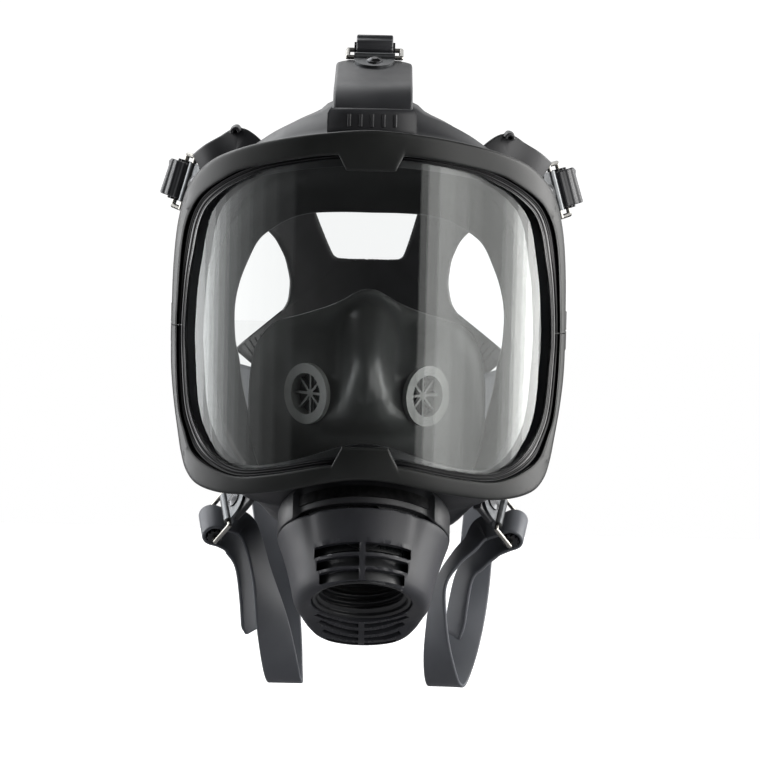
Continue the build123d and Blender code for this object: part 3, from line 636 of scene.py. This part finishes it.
def side_tab(name, root, bead):
    """A tab from the faceblank to a clip plate; bead adds the pull ear beside a temple's tab."""
    place = buckle_frame(name)
    across = (place @ Vector((1, 0, 0))) - place.translation
    sink = Vector((0, 0, -3.0 if bead else 0))
    route = [root, place @ Vector((0, -13, -2.1)) + sink, place @ Vector((0, -3.2, -2.1))]
    tab = strip(route, [across] * 3, 17.0 if bead else 20.0, 3.0, steps=8)
    grids = [tab]
    if bead:
        hand = copysign(1, root[0])
        ear = [(hand * 52, -50, 78), (hand * 57, -48, 82.5), (hand * 61.5, -46, 84.3), (hand * 67, -44, 81),
               (hand * 74, -42, 77), (hand * 79, -38, 73)]
        lean = [(hand * 0.1, 0.2, 1), (hand * -0.2, 0.2, 1), (0, 0.2, 1), (hand * 0.3, 0.2, 1),
                (hand * 0.4, 0.2, 1), (hand * 0.6, 0.2, 1)]
        grids.append(strip(ear, lean, 11.5, 2.4, steps=6))
        roll = [(hand * 60, -47, 88.4), (hand * 61.6, -47, 90.0), (hand * 63.6, -46.5, 89.3),
                (hand * 63.8, -46.5, 87.2)]
        grids.append(strip(roll, [(0, 1, 0.2)] * 4, 8.0, 1.6, steps=5))
    return grids


def make_faceblank():
    """The rubber faceblank with its tabs, badge and port sleeve."""
    angles = [2 * pi * step / 192 for step in range(192)]
    shell = build("faceblank_rubber", *skin([blank_section(angle) for angle in angles], along=True))
    cut(shell, port_cylinder("sleeve_cut", DRUM_R, -60, 12))
    tabs = []
    for hand in (-1, 1):
        side = "left" if hand < 0 else "right"
        tabs += side_tab("temple_" + side, (hand * 73.5, -52, 60), True)
        tabs += side_tab("neck_" + side, (hand * 53, -38, -75), False)
    add_grids(shell, forehead_tab(), *badge(), *tabs, port_sleeve())
    sharpen(shell, 55)
    finish_piece(shell, "blank_rubber", "root", "faceblank")


# ---- front module -------------------------------------------------------------------------
def port_point(x, forward, depth):
    """A point from the cover's rim: across, forward and down the port's axis."""
    return RIM + Vector((x, 0, 0)) + PORT_FORWARD * forward + PORT_AXIS * depth


def port_sleeve():
    """The chin's sleeve on the port, with a skirt over the clamp band at the sides and the back."""
    rows = []
    for step in range(144):
        angle = 2 * pi * step / 144
        turn = abs(atan2(sin(angle), cos(angle)))
        skirt = smoothstep((turn - 0.86) / 0.05)
        border = exp(-((turn - 0.93) / 0.03) ** 2) * 0.8
        low = blend_value(36.6, 37.9, skirt)
        high = blend_value(36.7, 39.1, skirt) + border
        end = blend_value(-3.2, -0.5, skirt)
        row = []
        profile = ((DRUM_R, -18), (36.0, -18), (blend_value(36.6, 38.6, skirt), -13.5), (high, -12),
                   (high, end - 0.4), (high - 0.3, end), (low, end), (low, blend_value(-3.3, -11.8, skirt)),
                   (36.6, blend_value(-3.4, -11.8, skirt)), (36.6, -3.4), (36.4, -3.2), (DRUM_R, -3.0))
        for r, d in profile:
            row.append(port_point(r * sin(angle), r * cos(angle), d))
        rows.append(row)
    return skin(rows, along=True)


def port_cylinder(name, radius, start, end, offset=0.0):
    """A cutter along the port's axis."""
    rows = []
    for depth in (start, end):
        rows.append([port_point(radius * sin(2 * pi * k / 96), offset + radius * cos(2 * pi * k / 96), depth)
                     for k in range(96)])
    return build(name, *skin(rows), smooth=False)


def cut(piece, *cutters):
    """Cuts the cutters out of a piece and removes them."""
    for cutter in cutters:
        modifier = piece.modifiers.new("cut", "BOOLEAN")
        modifier.operation = "DIFFERENCE"
        modifier.solver = "EXACT"
        modifier.object = cutter
        with bpy.context.temp_override(object=piece, active_object=piece):
            bpy.context.view_layer.objects.active = piece
            bpy.ops.object.modifier_apply(modifier="cut")
        bpy.data.objects.remove(cutter)


def cover_bottom(forward):
    """The bottom's extra depth: it swells downwards behind the port."""
    return 5.0 * smoothstep((-12.0 - forward) / 17.0)


def cover_ring(depth, shrink, rounding, share=1.0):
    """One ring of the cover, or of its bottom when share is under 1."""
    part = min(depth / COVER_DEPTH, 1.0)
    across = 30.5 + 8.5 * (1 - part) ** 1.5 - rounding - shrink
    along = blend_value(COVER_R, 34.0, part) - rounding - shrink
    swell = smoothstep((depth - 24) / 6)
    ring = []
    for step in range(144):
        angle = 2 * pi * step / 144
        crease = 0.0
        if shrink == 0:
            for corner in (-39, 39):
                away = (degrees(atan2(sin(angle), cos(angle))) - corner) / 5.0
                crease += 0.9 * exp(-away * away) * max(1 - part * 1.6, 0)
        x = (across - crease) * sin(angle) * share
        forward = -2.0 * part + (along - crease) * cos(angle)
        forward = blend_value(PORT_OFFSET, forward, share)
        ring.append(port_point(x, forward, depth + cover_bottom(forward) * swell))
    return ring


def bar_cutter(name, x1, x2, depth, height, b1, b2):
    """A slot cutter that runs forward, with rounded ends."""
    middle = (x1 + x2) / 2
    rows = []
    for forward in (b1, b2):
        rows.append([port_point(middle + a, forward, depth + b)
                     for a, b in rounded_bar(abs(x2 - x1) / 2, height / 2, 0.5, 2)])
    return build(name, *skin(rows), smooth=False)


def arc_cutter(name, middle, width, hand, end_x):
    """A curved slot cutter round the port, on one side of the centre bar."""
    rows = []
    start = asin(BAR_HALF / middle)
    stop = asin(min(end_x / middle, 0.98))
    for step in range(13):
        angle = pi - hand * blend_value(start, stop, step / 12)
        row = []
        inside, outside = middle - width / 2, middle + width / 2
        for r, d in ((inside, 12), (outside, 12), (outside, 46), (inside, 46)):
            row.append(port_point(r * sin(angle), PORT_OFFSET + r * cos(angle), d))
        rows.append(row)
    return build(name, *skin(rows), smooth=False)


def make_cover():
    """The front cover: a swollen cup with front slots, an outlet grille and the port's hole."""
    levels = [(0, 0.5), (0.4, 0.1), (1.0, 0), (3, 0), (5, 0), (7.5, 0), (10, 0), (12.5, 0), (15, 0), (20, 0),
              (25, 0), (28.5, 0.2), (30.5, 0.8), (31.8, 1.7), (32.7, 2.9), (33, 4.2)]
    shares = [0.93, 0.86, 0.8, 0.7, 0.6, 0.4, 0.1]
    outer = [cover_ring(d, 0, r) for d, r in levels] + [cover_ring(33, 0, 4.2, share) for share in shares]
    floor = COVER_DEPTH - COVER_WALL
    inner = [cover_ring(min(d, floor), COVER_WALL, r) for d, r in levels]
    inner += [cover_ring(floor, COVER_WALL, 4.2, share) for share in shares]
    rows = outer + inner[::-1]
    points, faces = skin(rows, caps=False)
    width = len(rows[0])
    outer_end = (len(outer) - 1) * width
    inner_end = len(outer) * width
    quads = [face for face in faces if not (outer_end <= face[0] < inner_end)]
    quads.append(tuple(range(outer_end, outer_end + width)))
    quads.append(tuple(range(inner_end + width - 1, inner_end - 1, -1)))
    last = (len(rows) - 1) * width
    for j in range(width):
        quads.append((last + j, last + (j + 1) % width, (j + 1) % width, j))
    piece = build("front_cover_shell", points, quads)
    cutters = [port_cylinder("port_cut", 22.5, 20, 44, PORT_OFFSET)]
    for depth, half_width in ((17.2, 21.2), (23.1, 20.0), (28.7, 18.6)):
        for hand in (-1, 1):
            cutters.append(bar_cutter("slot", hand * BAR_HALF, hand * half_width, depth, 4.4, 20, 48))
    for row in range(5):
        for hand in (-1, 1):
            cutters.append(arc_cutter("grille", 25.7 + 4.3 * row, 2.5, hand, 20.5 - 1.4 * row))
    cut(piece, *cutters)
    bevel(piece, 0.35)
    finish_piece(piece, "cover_plastic", "root", "front_cover")


def make_insert():
    """The threaded insert with a real helical thread."""
    pitch, crest, root = 3.63, 18.4, 20.2
    top, low = 31.4, 20.0
    rows = []
    steps, levels = 96, 52
    for step in range(steps):
        angle = 2 * pi * step / steps
        row = [(22.2, 17.4), (21.9, 17.0), (15.6, 17.0), (15.5, 17.3), (15.5, 19.4), (root, 19.5)]
        for level in range(levels + 1):
            d = blend_value(low, top, level / levels)
            phase = (d / pitch - step / steps) % 1.0
            tooth = smoothstep((0.5 - abs(phase - 0.5)) / 0.22 - 0.55)
            fade = smoothstep((d - low - 0.8) / 1.2) * smoothstep((top - 1.2 - d) / 1.6)
            row.append((blend_value(root, crest, tooth * fade), d))
        row += [(20.5, 31.7), (20.9, 32.0), (21.7, 32.1), (22.1, 31.9), (22.2, 31.4)]
        rows.append([port_point(r * sin(angle), PORT_OFFSET + r * cos(angle), d) for r, d in row])
    piece = build("inlet_thread_ring", *skin(rows, along=True))
    sharpen(piece, 60)
    finish_piece(piece, "insert_plastic", "root", "inlet_thread_insert")


# ---- nose cup -----------------------------------------------------------------------------
CUP_OUTLINE = [
    (0, 17.3), (4, 16.6), (8, 14.5), (13, 11.6), (19, 9), (26, 6.6), (33, 4.5), (39, 2.8), (44, 0.5),
    (50, -6.5), (53, -15), (54.5, -30), (54, -48), (50, -64), (42, -77), (28, -86), (12, -89), (0, -89.5)]
CUP_CENTRE = Vector((0, -33))
CUP_BACK_Y = -38.0


def cup_depth(x, z, share):
    """How far the nose cup stands forward of its rim, share 0 in the middle and 1 at the rim."""
    dome = 38.0 * max(1 - share ** 2, 0) ** 1.75
    bridge = 13.0 * exp(-(x / 10.5) ** 4) * smoothstep((20 - z) / 26) * (1 - smoothstep((-8 - z) / 40))
    fold = -2.6 * exp(-((z + 47) / 5.0) ** 2) * exp(-(x / 22) ** 4)
    cheek = -2.2 * exp(-((abs(x) - 17) / 6) ** 2) * smoothstep((12 - z) / 18) * smoothstep((z + 40) / 20)
    return dome + (bridge + cheek) * smoothstep((1 - share) / 0.22) + fold


def make_nose_cup():
    """The rubber nose cup, a polar grid cut for its two valves and the port body."""
    outline = Outline([(x, z - CUP_CENTRE.y) for x, z in CUP_OUTLINE], 6)
    shares = [0.02 + 0.98 * k / 40 for k in range(41)]
    rows = []
    for step in range(160):
        angle = 2 * pi * step / 160
        reach = outline.reach(angle)
        direction = Vector((sin(angle), cos(angle)))
        front, back = [], []
        for share in shares:
            q = CUP_CENTRE + direction * reach * share
            y = CUP_BACK_Y - cup_depth(q.x, q.y, share)
            front.append(Vector((q.x, y, q.y)))
            inner = CUP_CENTRE + direction * (reach - 1.6) * share
            back.append(Vector((inner.x, y + 2.6, inner.y)))
        rim = CUP_CENTRE + direction * reach
        lip = [Vector((rim.x, CUP_BACK_Y + 0.6, rim.y)) + Vector((direction.x, 0, direction.y)) * 0.35]
        lip.append(Vector((rim.x, CUP_BACK_Y + 1.6, rim.y)) + Vector((direction.x, 0, direction.y)) * 0.3)
        wall = rim - direction * 1.2
        lip.append(Vector((wall.x, CUP_BACK_Y + 14, wall.y)))
        wall = rim - direction * 3.4
        lip.append(Vector((wall.x, CUP_BACK_Y + 14, wall.y)))
        rows.append(front + lip + back[::-1])
    piece = build("nose_cup_rubber", *skin(rows, around=False, along=True))
    close_middle(piece)
    cutters = []
    for hand in (-1, 1):
        matrix = valve_matrix(hand)
        for radius, start, end in ((10.6, -30, 4), (13.9, 0.0, 40)):
            rows = []
            for depth in (start, end):
                turns = [2 * pi * k / 64 for k in range(64)]
                rows.append([matrix @ Vector((radius * cos(a), radius * sin(a), depth)) for a in turns])
            cutters.append(build("valve_cut", *skin(rows), smooth=False))
    cutters.append(port_cylinder("drum_cut", DRUM_R, -24.2, 40))
    cut(piece, *cutters)
    sharpen(piece, 50)
    finish_piece(piece, "cup_rubber", "root", "nose_cup")


def close_middle(piece):
    """Fills the two small rings left open in the middle of a polar grid."""
    work = bmesh.new()
    work.from_mesh(piece.data)
    bmesh.ops.holes_fill(work, edges=[e for e in work.edges if e.is_boundary], sides=0)
    bmesh.ops.recalc_face_normals(work, faces=work.faces)
    work.to_mesh(piece.data)
    work.free()


def valve_matrix(hand):
    """A nose cup valve's matrix: z points out of the cup."""
    out = Vector((hand * sin(radians(44)), -cos(radians(44)), 0))
    side = Vector((0, 0, 1))
    matrix = Matrix((side, out.cross(side), out)).transposed().to_4x4()
    matrix.translation = Vector((hand * 26, -62, -29))
    return matrix


# ---- straps and head pad ------------------------------------------------------------------
PAD_HALF = [(0, 87), (9.5, 87), (9.8, 72), (14, 68.5), (30, 66), (44, 62), (58, 60), (63, 47.5), (54, 43.5),
            (48, 37), (43.5, 27), (41.5, 15), (43, 4), (49, -5), (59, -12), (71, -20), (58, -32), (44, -24),
            (20, -15), (0, -13)]
PAD_WINDOW = [(0, 56), (24, 56), (27, 54), (25.5, 48), (19.6, 31.5), (17, 27.8), (13, 27), (0, 27)]
PAD_CENTRE = Vector((0, 12, 10))
PAD_MIDDLE_R = 100.5
PAD_PIVOT_Z = 36.0


def make_head_pad():
    """The spider shaped pad, lofted from its window to its outline on a head-sized sphere."""
    half = [Vector((x, z)) for x, z in PAD_HALF]
    outline = []
    for index in range(len(half) - 1):
        a, b = half[index], half[index + 1]
        count = max(int((b - a).length / 1.6), 2)
        outline += [a.lerp(b, k / count) for k in range(count)]
    outline.append(half[-1])
    for _ in range(3):
        outline = [outline[0]] + [(outline[i - 1] + outline[i] * 2 + outline[i + 1]) / 4
                                  for i in range(1, len(outline) - 1)] + [outline[-1]]
    outline += [Vector((-p.x, p.y)) for p in reversed(outline[1:-1])]
    window = Outline([(x, z - PAD_PIVOT_Z) for x, z in PAD_WINDOW], 6)
    profile = [(0, 0), (0.004, 1.0), (0.02, 1.4), (0.1, 1.5), (0.3, 1.5), (0.5, 1.5), (0.7, 1.5), (0.88, 1.5),
               (0.97, 1.4), (0.994, 1.0), (1, 0)]
    profile += [(t, -h) for t, h in reversed(profile[1:-1])]
    rows = []
    for p in outline:
        angle = atan2(p.x, p.y - PAD_PIVOT_Z)
        near = window.reach(angle)
        start = Vector((near * sin(angle), PAD_PIVOT_Z + near * cos(angle)))
        row = []
        for t, lift in profile:
            q = start.lerp(p, t)
            x, z = q.x - PAD_CENTRE.x, q.y - PAD_CENTRE.z
            x -= (1.3 + 0.06 * (q.y - 20)) * smoothstep((82 - q.y) / 24)
            y = sqrt(PAD_MIDDLE_R ** 2 - x * x - z * z)
            normal = Vector((x, y, z)).normalized()
            row.append(PAD_CENTRE + normal * (PAD_MIDDLE_R + lift))
        rows.append(row)
    grids = [skin(rows, along=True)]
    for hand in (-1, 1):
        for index in range(9):
            along = index / 8
            a = Vector((hand * blend_value(45, 66, along), blend_value(-6.5, -17.5, along)))
            b = Vector((hand * blend_value(41, 57.5, along), blend_value(-19.5, -28.5, along)))
            grids.append(pad_rib(a, b))
    piece = build("head_pad_rubber", *merge(*grids))
    finish_piece(piece, "blank_rubber", "root", "head_pad")
    # the pad is dressed again with the darker copy of the faceblank's rubber: painted shade for the shadowed
    # inside of the mask
    dress(piece, "pad_rubber_painted_shade")


def pad_rib(a, b):
    """A fine raised rib across one of the pad's lower arms, on its inner face."""
    route = []
    for k in range(4):
        q = a.lerp(b, k / 3)
        x, z = q.x - PAD_CENTRE.x, q.y - PAD_CENTRE.z
        y = sqrt(PAD_MIDDLE_R ** 2 - x * x - z * z)
        route.append(PAD_CENTRE + Vector((x, y, z)).normalized() * (PAD_MIDDLE_R - 1.6))
    across = Vector((a.y - b.y, 0, b.x - a.x)).normalized()
    return strip(route, [across] * 4, 1.1, 0.9, steps=2)


TOP_ROUTE = [(0, -4, 127.5), (0, 14, 130), (0, 40, 125), (0, 66, 109.5), (0, 81.5, 86.5)]
TEMPLE_ROUTE = [(90, -6, 66), (89, 16, 65), (82, 42, 60), (72, 66, 56), (61.8, 84.8, 52)]
NECK_LEFT_ROUTE = [(-56.8, -27.5, -95.2), (-52.2, -28, -103), (-47.5, -28, -120), (-42, -25, -145),
                   (-38, -18, -167), (-36.5, -8, -174), (-37, 1, -170), (-38, 8, -155), (-41, 18, -130),
                   (-48, 33, -98), (-57, 57, -60), (-65.5, 77, -28.5)]
NECK_RIGHT_ROUTE = [(55.8, -27, -94.8), (50.6, -28, -101.5), (43.5, -29, -109), (37.5, -29, -119),
                    (35.6, -27, -134), (36, -24, -150), (38, -17, -166), (40.5, -8, -174), (44, 1, -171.5),
                    (49, 8, -157), (53, 18, -138), (56, 31, -112), (60, 54, -68), (65.5, 77, -28.5)]
NECK_LEFT_WIDTHS = [(0.18, 0.85, 0.49), (0.32, 0.9, 0.25), (0.45, 0.88, 0.1), (0.85, 0.5, 0), (1, 0.1, 0),
                    (1, 0, 0), (1, 0, 0), (1, 0, 0), (1, 0, 0), (0.9, 0.3, -0.2), (0.75, 0.5, -0.35),
                    (0.72, 0.5, -0.45)]
NECK_RIGHT_WIDTHS = [(-0.18, 0.85, 0.49), (-0.12, 0.93, 0.3), (-0.08, 0.97, 0.2), (-0.15, 0.97, 0.1),
                     (-0.42, 0.9, 0), (-0.65, 0.75, 0), (-0.92, 0.4, 0), (-1, 0.05, 0), (-1, 0, 0),
                     (-1, 0, 0), (-1, 0, 0), (-0.95, 0.25, -0.1), (-0.82, 0.42, -0.3), (-0.72, 0.5, -0.45)]
NECK_LEFT_TAIL = [(-63, -23, -104), (-57.5, -20, -113), (-54.5, -18, -130), (-52.5, -16, -148)]
NECK_RIGHT_TAIL = [(61.5, -23, -103), (54.5, -21.5, -110), (47.8, -20, -120), (43.8, -17, -148)]


def wrap_points(name):
    """The strap's middle line round the roller, from the run's leg to the tail's leg."""
    matrix = buckle_frame(name)
    turn = Matrix.Rotation(radians(BUCKLES[name][3]), 4, "X")
    place = matrix @ Matrix.Translation((0, BAIL_LENGTH, 0)) @ turn
    points = [place @ Vector((0, 5.0, -WRAP_R))]
    for step in range(7):
        angle = radians(-90 - 30 * step)
        points.append(place @ Vector((0, WRAP_R * cos(angle), WRAP_R * sin(angle))))
    points.append(place @ Vector((0, 5.0, WRAP_R)))
    return points, place


def make_strap(name, route, route_widths, tail, tail_widths, nodes):
    """One strap: tail, bend round the roller, run and pad end."""
    wrap, place = wrap_points(name)
    across = (place @ Vector((1, 0, 0))) - place.translation
    run = [Vector(p) for p in route]
    widths = [Vector(w) * copysign(1, Vector(route_widths[0]).dot(across)) for w in route_widths]
    end = [Vector(p) for p in tail]
    end_widths = [Vector(w) * copysign(1, Vector(tail_widths[0]).dot(across)) for w in tail_widths]
    points = run[::-1] + wrap + end
    turns = widths[::-1] + [across] * len(wrap) + end_widths
    first, last = len(run) - 1, len(run) + len(wrap) + 2
    ribbed = not name.startswith("neck")

    def taper(t):
        return 1.0 - 0.35 * smoothstep((t - 0.985) / 0.015)

    def ribs(along):
        if ribbed and first < along < last:
            return 1.0 + 0.5 * max(sin((along - first) * pi * 2 / 1.35), 0) ** 0.6
        return 1.0

    grid = strip(points, turns, STRAP_WIDTH, STRAP_THICKNESS, taper=taper, steps=8, ribs=ribs)
    piece = build(name + "_strap", *grid)
    dress(piece, "strap_ribbed" if ribbed else "strap_rubber")
    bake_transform(piece)
    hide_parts(*nodes)


def make_straps():
    """The top strap, the two temple straps and the two looped neck straps."""
    tail = [(0, 1, 133.6), (0, 14, 133.2), (0, 27, 131.0)]
    make_strap("top", TOP_ROUTE, [(1, 0, 0)] * 5, tail, [(1, 0, 0)] * 3,
               ("top_strap", "top_strap_wrap"))
    for hand, side in ((-1, "left"), (1, "right")):
        name = "temple_" + side
        route = [(hand * x, y, z) for x, y, z in TEMPLE_ROUTE]
        widths = [(hand * 0.27, 0, 0.96)] * 3 + [(hand * -0.3, -0.2, 0.93)] * 2
        tail = [(hand * 93.4, -3, 66.4), (hand * 91.6, 14, 65.6), (hand * 87.2, 31, 62.9)]
        make_strap(name, route, widths, tail, [(hand * 0.27, 0, 0.96)] * 3,
                   (name.replace("temple_", "temple_strap_"), name + "_strap_wrap"))
        name = "neck_" + side
        route = NECK_LEFT_ROUTE if hand < 0 else NECK_RIGHT_ROUTE
        tail = NECK_LEFT_TAIL if hand < 0 else NECK_RIGHT_TAIL
        widths = NECK_LEFT_WIDTHS if hand < 0 else NECK_RIGHT_WIDTHS
        turns = [(hand * -0.18, 0.85, 0.49), (hand * -0.3, 0.9, 0.3), (hand * -0.4, 0.9, 0),
                 (hand * -0.5, 0.85, 0)]
        make_strap(name, route, widths, tail, turns,
                   ("neck_strap_" + side, "neck_strap_tail_" + side, name + "_strap_wrap"))


# ---- CAD parts that keep their own shape --------------------------------------------------
def dress_cad_parts():
    """Materials and rounded edges for the CAD pieces that no new piece replaces."""
    soft_edges = {"clip_plate": 0.25, "strap_roller": 0.2, "valve_seat": 0.2, "rivets": 0.15}
    for node, piece in frame["nodes"].items():
        dress(piece, "rivet_metal" if node == "buckle_rivets" else NODE_SLOT[node])
        for ending, width in soft_edges.items():
            if ending in node:
                bevel(piece, width)


# ---- camera, light and floor --------------------------------------------------------------
CAMERA_DISTANCE = 0.95     # metres, like all of this part
ARC_R = 1.1
FLOOR_Z = -0.182


def make_camera():
    """The viewpoint: straight in front, a little above, slightly rolled."""
    elevation, roll = radians(5.0), radians(1.3)
    target = Vector((0.0059, -0.065, -0.022))
    back = Vector((0, -cos(elevation), sin(elevation)))
    up = Vector((0, sin(elevation), cos(elevation)))
    right = Vector((cos(roll), 0, 0)) + up * sin(roll)
    top = Vector((-sin(roll), 0, 0)) + up * cos(roll)
    data = bpy.data.cameras.new("camera")
    data.lens = 100.0
    data.sensor_width = 36.0
    data.clip_start = 0.05
    camera = bpy.data.objects.new("camera", data)
    matrix = Matrix((right, top, back)).transposed().to_4x4()
    matrix.translation = target + back * CAMERA_DISTANCE
    camera.matrix_world = matrix
    bpy.context.scene.collection.objects.link(camera)
    bpy.context.scene.camera = camera


def softbox(name, centre, target, width, height, radiance, color=(1, 1, 1)):
    """A rectangular soft light that faces a target."""
    data = bpy.data.lights.new(name, "AREA")
    data.shape = "RECTANGLE"
    data.size = width
    data.size_y = height
    data.energy = radiance * pi * width * height
    data.color = color
    lamp = bpy.data.objects.new(name, data)
    direction = Vector(target) - Vector(centre)
    lamp.matrix_world = Matrix.Translation(centre) @ direction.to_track_quat("-Z", "Y").to_matrix().to_4x4()
    bpy.context.scene.collection.objects.link(lamp)


def light_arc(name, side, edges, radiances, color):
    """Tall soft strips side by side round the mask; edges are degrees from straight in front."""
    for index, radiance in enumerate(radiances):
        middle = radians((edges[index] + edges[index + 1]) / 2)
        width = ARC_R * radians(edges[index + 1] - edges[index]) * 1.01
        centre = (side * ARC_R * sin(middle), -ARC_R * cos(middle), 0.05)
        softbox("%s_%02d" % (name, index), centre, (0, 0, 0.05), width, 1.6, radiance, color)


def make_studio():
    """Soft lights, a white world and a floor and backdrop that only the camera sees as white."""
    light_arc("right", 1, (26, 30, 36, 44, 52, 60, 68, 76, 84, 92, 104, 118),
              (0.9, 2.3, 3.3, 2.9, 2.4, 2.1, 2.2, 3.2, 6.5, 10.0, 4.5), (1.0, 0.99, 0.975))
    light_arc("left", -1, (40, 50, 58, 66, 74, 82, 90, 98, 106, 120),
              (0.15, 0.3, 0.5, 0.8, 1.2, 2.2, 4.0, 6.0, 6.5), (0.985, 0.99, 1.0))
    softbox("front_panel", (0.35, -0.85, 1.00), (0, -0.05, 0), 1.2, 0.8, 0.35)
    softbox("top_panel", (-0.65, 0.50, 1.00), (0, -0.05, 0), 1.3, 1.0, 2.4, (0.97, 0.985, 1.0))
    softbox("low_panel", (0.25, -0.80, -0.85), (0, -0.05, -0.1), 1.2, 0.6, 3.0, (0.93, 0.95, 1.0))
    world = bpy.data.worlds.new("studio")
    world.use_nodes = True
    tree = world.node_tree
    tree.nodes["Background"].inputs["Color"].default_value = (1, 1, 1, 1)
    seen = tree.nodes.new("ShaderNodeLightPath")
    strength = tree.nodes.new("ShaderNodeMapRange")
    strength.inputs["To Min"].default_value = 0.05
    tree.links.new(seen.outputs["Is Camera Ray"], strength.inputs["Value"])
    tree.links.new(strength.outputs["Result"], tree.nodes["Background"].inputs["Strength"])
    bpy.context.scene.world = world
    bpy.context.scene.view_settings.view_transform = "Standard"
    half = 0.5
    floor = [(-half, -half, FLOOR_Z), (half, -half, FLOOR_Z), (half, half, FLOOR_Z), (-half, half, FLOOR_Z)]
    wall = [(-7, 3, FLOOR_Z), (7, 3, FLOOR_Z), (7, 3, 4), (-7, 3, 4)]
    for name, points, glow in (("floor", floor, 0.0), ("backdrop", wall, 1.0)):
        data = bpy.data.meshes.new(name)
        data.from_pydata(points, [], [(0, 1, 2, 3)])
        sheet = bpy.data.objects.new(name, data)
        bpy.context.scene.collection.objects.link(sheet)
        material, tree, shader = node_material(name)
        shader.inputs["Base Color"].default_value = (0.30, 0.30, 0.31, 1)
        shader.inputs["Roughness"].default_value = 0.9
        shader.inputs["Specular IOR Level"].default_value = 0.0
        shader.inputs["Emission Color"].default_value = (1, 1, 1, 1)
        seen = tree.nodes.new("ShaderNodeLightPath")
        strength = tree.nodes.new("ShaderNodeMapRange")
        strength.inputs["To Min"].default_value = glow
        tree.links.new(seen.outputs["Is Camera Ray"], strength.inputs["Value"])
        tree.links.new(strength.outputs["Result"], shader.inputs["Emission Strength"])
        data.materials.append(material)


make_camera()
make_studio()
dress_cad_parts()
make_frame()
make_seal()
make_lens()
make_faceblank()
make_nose_cup()
make_cover()
make_insert()
make_head_pad()
make_straps()
